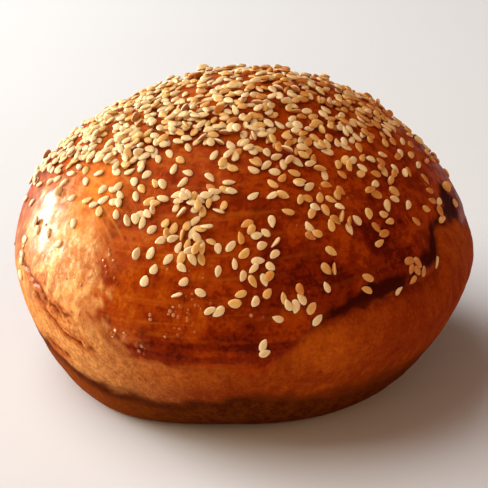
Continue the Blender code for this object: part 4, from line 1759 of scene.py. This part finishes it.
@dataclass(frozen=True)
class CrustFinish:
    """Baked crust: egg glaze over the crown, dull bread below it and a dark under-curve; some colours
    are painted light and shade.

    Its colours are worked out from marks: the masks on the crust's points, layers of
    blotches, and blends of these.
    """

    effects: Effects
    name: str = "baked_crust"
    crown_light: Color = (0.53, 0.120, 0.005, 1.0)
    crown_mid: Color = (0.36, 0.045, 0.0018, 1.0)
    crown_deep: Color = (0.205, 0.0170, 0.0010, 1.0)
    crown_dark: Color = (0.100, 0.0060, 0.0008, 1.0)
    crown_stops: tuple[float, ...] = (0.0, 0.38, 0.72, 1.0)
    # Partly bread seen through the glaze, partly painted sheen on the lit left crown.
    thin_glaze: Color = (0.90, 0.46, 0.145, 1.0)
    # Painted glints: pale flecks where the lit left crown sparkles.
    glint_fleck: Color = (0.97, 0.76, 0.52, 1.0)
    # Painted highlight on blister crests.
    crest_glint: Color = (0.98, 0.76, 0.46, 1.0)
    stroke: Color = (0.60, 0.155, 0.008, 1.0)
    gilded: Color = (0.86, 0.23, 0.004, 1.0)
    side_light: Color = (0.49, 0.100, 0.006, 1.0)
    side_deep: Color = (0.20, 0.0165, 0.0016, 1.0)
    side_amber: Color = (0.60, 0.130, 0.008, 1.0)
    # side_pale: partly the bread's paler tone, partly painted light on the lit left side.
    side_pale: Color = (0.90, 0.43, 0.130, 1.0)
    # Under-curve colours: partly darker crust, partly painted shade.
    under: Color = (0.058, 0.0070, 0.0010, 1.0)
    under_rim: Color = (0.17, 0.040, 0.002, 1.0)
    pool: Color = (0.042, 0.0032, 0.0010, 1.0)
    # crease darkens cracks, the glaze-edge groove and pits: partly darker crust, partly painted shade.
    crease: Color = (0.120, 0.012, 0.0020, 1.0)
    freckle: Color = (0.30, 0.044, 0.005, 1.0)
    cracked: Color = (0.50, 0.090, 0.010, 1.0)

    masks: tuple[str, ...] = (
        "glazed", "pooled", "streaked", "brushed", "thin_and_sheen", "pale", "under", "rimmed", "creased",
        "reddened", "freckled", "swept", "dusky", "honeyed_and_glow", "ruddy", "amber", "gilded", "shiny",
        "crest_glint",
    )
    mottles: tuple[tuple[str, Mottle], ...] = (
        ("blotch", Mottle((95, 95, 95), 4.0, 0.30, 0.70)),
        ("fleck", Mottle((420, 420, 420), 4.0, 0.36, 0.68)),
        ("grain", Mottle((1150, 1150, 1150), 3.0, 0.34, 0.70)),
        ("ring", Mottle((34, 34, 700), 3.0, 0.50, 0.74, 0.10)),
        ("line", Mottle((30, 30, 480), 3.0, 0.36, 0.60, 0.04)),
        ("flaky", Mottle((330, 330, 210), 5.0, 0.34, 0.62)),
        # Flecks for the painted glints.
        ("glint_fleck", Mottle((1250, 1250, 700), 4.0, 0.50, 0.64)),
        ("stretch", Mottle((460, 460, 120), 4.0, 0.34, 0.68)),
        ("prick", Mottle((1900, 1900, 1100), 3.0, 0.54, 0.70)),
        ("spot", Mottle((760, 760, 760), 2.0, 0.46, 0.66)),
        ("fine", Mottle((1500, 1500, 1500), 3.0, 0.2, 0.8)),
        ("fibre", Mottle((130, 130, 1500), 3.0, 0.3, 0.75, 0.10)),
    )
    sweep_centre: tuple[float, float, float] = (-0.046, -0.030, 0.018)
    sweep_along: tuple[float, float, float] = (40, 40, 40)
    sweep_fineness: float = 620.0
    sweep_range: Span = (0.50, 0.74)
    stroke_sweep_share: float = 0.55
    pit_scale: float = 560.0
    pit_radius: float = 0.42
    pit_share: float = 0.14

    blends: tuple[Blend, ...] = (
        Blend("lined", "streaked", 0.12, "line", 0.26),
        Blend("clear_fleck", "fleck", 1.0, "streaked", -0.7),
        Blend("ringed", "ring", 0.08, "brushed", 0.36),
        Blend("sweep", "brush_arc", 0.0, "swept", 1.0),
        Blend("gilt", "gilded", 0.90, "fleck", -0.45),
        # Partly glaze that lies thinly, partly painted sheen on the lit left crown.
        Blend("thinned_and_sheen", "thin_and_sheen", 0.95, "flaky", -0.62),
        Blend("worn_and_sheen", "thinned_and_sheen", 1.0, "streaked", -1.0),
        # Painted glints: flecks in the shiny part of the lit left crown.
        Blend("glint_area", "worn_and_sheen", 0.0, "shiny", 1.0),
        Blend("glint_flecked", "glint_fleck", 0.0, "glint_area", 1.0),
        Blend("stretched", "stretch", 1.0, "pale", -0.75),
        Blend("pricked", "prick", 0.05, "pale", 0.50),
        Blend("spotted", "spot", 0.0, "freckled", 1.0),
        Blend("unpooled", "glazed", 1.0, "pooled", -0.8),
        Blend("gloss", "unpooled", 1.0, "dusky", -0.6),
        Blend("wet_shine", "shiny", 1.0, "flaky", -0.55),
    )
    toast_base: float = 0.10
    toast: Parts = (
        ("blotch", 0.44),
        ("clear_fleck", 0.26),
        ("grain", 0.18),
        ("dusky", 0.32),
        # Lightens the crown: partly lighter glaze, partly painted glow.
        ("honeyed_and_glow", -0.20),
        ("lined", 1.0),
    )
    crown_washes: tuple[Wash, ...] = (
        Wash("gilt", 1.0, "gilded"),
        Wash("strokes", 1.0, "stroke"),
        # Partly painted sheen: these wash the crown with the colour of bread seen through the glaze,
        # lightened as sheen.
        Wash("sweep", 0.24, "thin_glaze"),
        Wash("worn_and_sheen", 1.0, "thin_glaze"),
        # Painted glints.
        Wash("glint_flecked", 1.0, "glint_fleck"),
        Wash("pooled", 1.0, "pool"),
    )
    side_washes: tuple[Wash, ...] = (
        Wash("stretched", 0.68, "side_deep"),
        Wash("blotch", 0.5, "side_deep"),
        Wash("ruddy", 0.8, "side_deep"),
        Wash("amber", 0.7, "side_amber"),
        # Partly painted light: the side is washed paler toward the lit left.
        Wash("pale", 0.85, "side_pale"),
        Wash("fleck", 0.36, "side_deep"),
        Wash("grain", 0.38, "side_deep"),
        Wash("pricked", 1.0, "side_pale"),
        # Partly painted shade: pits are darkened with the crease colour.
        Wash("pit", 0.35, "crease"),
    )
    under_rough: Parts = (("stretched", 0.4), ("grain", 0.4))
    # Partly painted light: the under-curve is lightened toward the lit left.
    under_washes: tuple[Wash, ...] = (Wash("pale", 0.35, "side_light"),)
    spot_washes: tuple[Wash, ...] = (Wash("spotted", 0.75, "freckle"),)
    last_washes: tuple[Wash, ...] = (
        # Painted shade, partly darker crust: the under-curve's upper rim is darkened with the under
        # colour.
        Wash("rimmed", 0.9, "under"),
        Wash("reddened", 0.8, "cracked"),
        # Partly darker crust, partly painted shade in the cracks and the glaze-edge groove.
        Wash("creased", 0.92, "crease"),
        # Painted highlight on blister crests.
        Wash("crest_glint", 1.0, "crest_glint"),
    )
    roughness: float = 0.78
    roughness_parts: Parts = (("glazed", -0.42), ("fleck", 0.08), ("pooled", 0.25))
    coat: float = 0.045
    coat_flecking: float = -0.7
    wet_coat: float = 0.36
    coat_roughness: float = 0.19
    specular_level: float = 0.02
    specular_tint: Color = (1.0, 0.42, 0.12, 1.0)
    crown_relief: Parts = (
        ("fibre", 0.40),
        ("fine", 0.30),
        ("fleck", 0.70),
        ("strokes", 0.80),
        ("worn_and_sheen", 1.60),
    )
    side_relief: Parts = (("stretched", 0.9), ("fine", 0.55), ("fleck", 1.1), ("pit", -1.4))
    relief_strength: float = 0.55
    relief_height: float = 0.00022

    def material(self) -> bpy.types.Material:
        """Makes the crust's material.

        Returns:
            The material.
        """
        material, sheet, shader = new_material(self.name)
        self.add_marks(sheet)
        wet = (("fleck", self.coat_flecking * self.coat), ("wet_shine", self.wet_coat))
        looks = {
            "Base Color": self.color(sheet),
            "Roughness": sheet.sum(self.roughness, self.roughness_parts),
            "Coat Weight": sheet.times("gloss", sheet.sum(self.coat, wet), clamp=True),
            "Coat Roughness": self.coat_roughness,
            "Specular IOR Level": self.specular_level,
            "Specular Tint": self.specular_tint,
            "Normal": self.normal(sheet),
        }
        sheet.feed(shader, looks)
        return material

    def add_marks(self, sheet: Sheet) -> None:
        """Works out the marks and keeps them on a sheet.

        Args:
            sheet: the material's sheet.
        """
        sheet.read_masks(self.masks)
        marks = sheet.marks
        for name, mottle in self.mottles:
            marks[name] = self.effects.blotches(sheet, mottle)
        marks["brush_arc"] = sheet.group(
            self.effects.brush_arcs,
            Centre=self.sweep_centre,
            Fineness=self.sweep_fineness,
            Along=self.sweep_along,
            Low=self.sweep_range[0],
            High=self.sweep_range[1],
        )
        marks["pit"] = sheet.group(
            self.effects.pores, Scale=self.pit_scale, Radius=self.pit_radius, Share=self.pit_share
        )
        for blend in self.blends:
            share = sheet.sum(blend.base, ((blend.second, blend.factor),))
            marks[blend.name] = sheet.times(blend.first, share)
        clear = sheet.math("SUBTRACT", 1.0, "streaked")
        swept = sheet.times("sweep", self.stroke_sweep_share)
        strokes = sheet.math("MAXIMUM", "ringed", swept)
        marks["strokes"] = sheet.times(strokes, sheet.times(clear, clear))

    def washed(self, sheet: Sheet, color: Value, washes: tuple[Wash, ...]) -> Value:
        """Lays washes over a colour.

        Args:
            sheet: the material's sheet.
            color: the colour below them.
            washes: the washes, the lowest first.

        Returns:
            The washed colour.
        """
        for wash in washes:
            share = sheet.times(wash.mark, wash.share)
            color = sheet.mix(share, color, getattr(self, wash.color))
        return color

    def color(self, sheet: Sheet) -> Value:
        """Works out the crust's colour, from the crown down to the under-curve.

        Args:
            sheet: the material's sheet.

        Returns:
            The colour.
        """
        toast = sheet.sum(self.toast_base, self.toast, clamp=True)
        baked = (self.crown_light, self.crown_mid, self.crown_deep, self.crown_dark)
        crown = sheet.ramp(toast, tuple(zip(self.crown_stops, baked)))
        crown = self.washed(sheet, crown, self.crown_washes)
        side = self.washed(sheet, self.side_light, self.side_washes)
        color = self.washed(sheet, sheet.mix("glazed", side, crown), self.spot_washes)
        # The under-curve's dark colour is partly painted shade.
        low = sheet.mix(sheet.sum(0.0, self.under_rough), self.under, self.under_rim)
        low = self.washed(sheet, low, self.under_washes)
        return self.washed(sheet, sheet.mix("under", color, low), self.last_washes)

    def normal(self, sheet: Sheet) -> Socket:
        """Works out the fine relief: brush marks in the glaze, pits and stretch marks below.

        Args:
            sheet: the material's sheet.

        Returns:
            The normal.
        """
        mix = sheet.add("ShaderNodeMix", data_type="FLOAT")
        side, crown = sheet.sum(0.0, self.side_relief), sheet.sum(0.0, self.crown_relief)
        height = sheet.feed(mix, {"Factor": "glazed", 2: side, 3: crown})[0]
        return sheet.bump(height, self.relief_strength, self.relief_height)


@dataclass(frozen=True)
class SeedFinish:
    """A hulled sesame seed: a yellower middle, a pale rim, and a tone that is partly baking and partly
    painted shade.
    """

    effects: Effects
    kind: SeedKind
    middle: Color
    rim: Color
    baked: Color
    # The seed's underside, darkened: partly glaze it sits in, partly painted shade under the seed.
    foot_shade_and_glaze: Color = (0.40, 0.100, 0.009, 1.0)
    foot_share: float = 0.85
    rim_power: float = 0.9
    baked_share: float = 0.55
    blotch: Mottle = Mottle((700, 700, 700), 2.0, 0.35, 0.75)
    blotch_share: float = 0.22
    roughness: float = 0.46
    blotch_roughness: float = 0.15
    glow: float = 0.20
    glow_radii: tuple[float, float, float] = (1.0, 0.6, 0.25)
    glow_depth: float = 0.0006
    fine: Mottle = Mottle((2600, 2600, 2600), 2.0, 0.25, 0.8)
    relief_strength: float = 0.35
    relief_height: float = 0.00008

    def material(self) -> bpy.types.Material:
        """Makes the seeds' material.

        Returns:
            The material.
        """
        material, sheet, shader = new_material(self.kind.value)
        sheet.read_masks(("rim", "tone", "foot"))
        blotch = self.effects.blotches(sheet, self.blotch)
        color = sheet.mix(sheet.math("POWER", "rim", self.rim_power), self.middle, self.rim)
        toned = ((sheet.times("tone", "tone"), self.baked_share), (blotch, self.blotch_share))
        # The tone mixes toward the baked colour; toward the right and the back it is partly painted
        # shade.
        color = sheet.mix(sheet.sum(0.0, toned, clamp=True), color, self.baked)
        # Partly painted shade: the underside is darkened.
        color = sheet.mix(sheet.times("foot", self.foot_share), color, self.foot_shade_and_glaze)
        fine = self.effects.blotches(sheet, self.fine)
        looks = {
            "Base Color": color,
            "Roughness": sheet.sum(self.roughness, ((blotch, self.blotch_roughness),)),
            "Subsurface Weight": self.glow,
            "Subsurface Radius": self.glow_radii,
            "Subsurface Scale": self.glow_depth,
            "Normal": sheet.bump(fine, self.relief_strength, self.relief_height),
        }
        sheet.feed(shader, looks)
        return material


@dataclass(frozen=True)
class Softbox:
    """One soft area light, aimed at the bun."""

    name: str
    azimuth: float
    elevation: float
    distance: float
    width: float
    height: float
    power: float
    color: tuple[float, float, float]

    def place(self, aim: Vector) -> None:
        """Adds the light.

        Args:
            aim: the point that it faces.
        """
        way = Vector(way_to(self.azimuth, self.elevation))
        light = bpy.data.lights.new(self.name, "AREA")
        light.shape = "RECTANGLE"
        light.size, light.size_y = self.width, self.height
        light.energy = self.power
        light.color = self.color
        lamp = bpy.data.objects.new(self.name, light)
        lamp.location = aim + way * self.distance
        lamp.rotation_euler = (-way).to_track_quat("-Z", "Y").to_euler()
        bpy.context.scene.collection.objects.link(lamp)


@dataclass(frozen=True)
class Studio:
    """The plain pale floor, the soft lights and the camera."""

    effects: Effects
    floor_half: float = 3.0
    floor_color: Color = (0.78, 0.86, 0.97, 1.0)
    floor_shade: Color = (0.75, 0.83, 0.94, 1.0)
    floor_blotch: Mottle = Mottle((4, 4, 4), 2.0, 0.3, 0.7)
    floor_roughness: float = 0.8
    sky: Color = (1.0, 0.97, 0.93, 1.0)
    sky_strength: float = 0.07
    aim: tuple[float, float, float] = (0.0016, 0.0, 0.0284)
    camera_elevation: float = 25.0
    camera_distance: float = 0.42
    camera_near: float = 0.02
    focal_pixels: float = 1745.0
    frame_pixels: float = 488.0
    sensor_mm: float = 36.0
    lights: tuple[Softbox, ...] = (
        Softbox("window", 147.0, 7.0, 0.80, 0.32, 0.16, 7.4, (1.0, 0.94, 0.85)),
        Softbox("left_wall", 178.0, 9.0, 1.20, 0.7, 0.6, 6.2, (1.0, 0.77, 0.43)),
        Softbox("key", 168.0, 54.0, 1.40, 1.5, 1.5, 21.5, (1.0, 0.90, 0.80)),
        Softbox("front_fill", 252.0, 22.0, 1.40, 2.4, 1.7, 8.0, (1.0, 0.56, 0.27)),
        Softbox("right_fill", 335.0, 12.0, 1.20, 1.0, 0.8, 4.4, (1.0, 0.41, 0.13)),
    )

    def build(self) -> None:
        """Adds the floor, the lights and the camera."""
        self.add_floor()
        for light in self.lights:
            light.place(Vector(self.aim))
        world = bpy.data.worlds.new("studio")
        bpy.context.scene.world = world
        world.use_nodes = True
        background = world.node_tree.nodes["Background"]
        background.inputs["Color"].default_value = self.sky
        background.inputs["Strength"].default_value = self.sky_strength
        self.add_camera()
        view = bpy.context.scene.view_settings
        view.view_transform = "Standard"
        view.look = "None"

    def add_floor(self) -> None:
        """Adds the floor just under the bun."""
        half = self.floor_half
        corners = np.array([(-half, -half, 0), (half, -half, 0), (half, half, 0), (-half, half, 0)])
        floor = make_mesh("floor", corners, [(0, 1, 2, 3)], {})
        material, sheet, shader = new_material("pale_floor")
        blotch = self.effects.blotches(sheet, self.floor_blotch)
        color = sheet.mix(blotch, self.floor_color, self.floor_shade)
        sheet.feed(shader, {"Base Color": color, "Roughness": self.floor_roughness})
        floor.data.materials.append(material)

    def add_camera(self) -> None:
        """Adds the camera at the photo's height and distance."""
        rise = math.radians(self.camera_elevation)
        back = Vector((0.0, -math.cos(rise), math.sin(rise)))
        right = Vector((1.0, 0.0, 0.0))
        turn = Matrix((right, back.cross(right), back)).transposed().to_4x4()
        data = bpy.data.cameras.new("camera")
        data.sensor_width = self.sensor_mm
        data.lens = self.focal_pixels * self.sensor_mm / self.frame_pixels
        data.clip_start = self.camera_near
        camera = bpy.data.objects.new("camera", data)
        place = Vector(self.aim) + back * self.camera_distance
        camera.matrix_world = Matrix.Translation(place) @ turn
        bpy.context.scene.collection.objects.link(camera)
        bpy.context.scene.camera = camera


def settle(piece: bpy.types.Object, material: bpy.types.Material) -> None:
    """Dresses a piece, lets it ride on the bun and puts it in the solid's place.

    Args:
        piece: the piece.
        material: its finish.
    """
    piece.data.materials.append(material)
    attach(piece, "root")
    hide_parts("bun")
    log.info("%s: %d points", piece.name, len(piece.data.vertices))


def main() -> None:
    """Builds the crust, its blisters, the seeds and the studio, in that order."""
    logging.basicConfig(level=logging.INFO, format="%(name)s %(message)s")
    relief = CrustRelief(BunSkin())
    effects = Effects()
    settle(Crust(relief).build(), CrustFinish(effects).material())
    blistered = CrustFinish(
        effects,
        name="blistered_glaze",
        crown_light=(0.62, 0.170, 0.016, 1.0),
        crown_mid=(0.46, 0.085, 0.006, 1.0),
        crown_deep=(0.30, 0.034, 0.003, 1.0),
        coat=0.85,
        coat_roughness=0.14,
    )
    settle(GlazeBlisters(relief).build(), blistered.material())
    seed_colors = {
        SeedKind.PALE: ((0.86, 0.64, 0.29, 1), (0.95, 0.86, 0.60, 1), (0.76, 0.44, 0.14, 1)),
        SeedKind.GOLDEN: ((0.80, 0.45, 0.11, 1), (0.92, 0.67, 0.27, 1), (0.64, 0.26, 0.04, 1)),
        SeedKind.TOASTED: ((0.68, 0.27, 0.03, 1), (0.82, 0.45, 0.10, 1), (0.48, 0.13, 0.02, 1)),
    }
    pieces = SeedCoat(relief, SeedPlan(relief.skin)).build()
    for kind, colors in seed_colors.items():
        settle(pieces[kind], SeedFinish(effects, kind, *colors).material())
    Studio(effects).build()


if __name__ == "__main__":
    main()
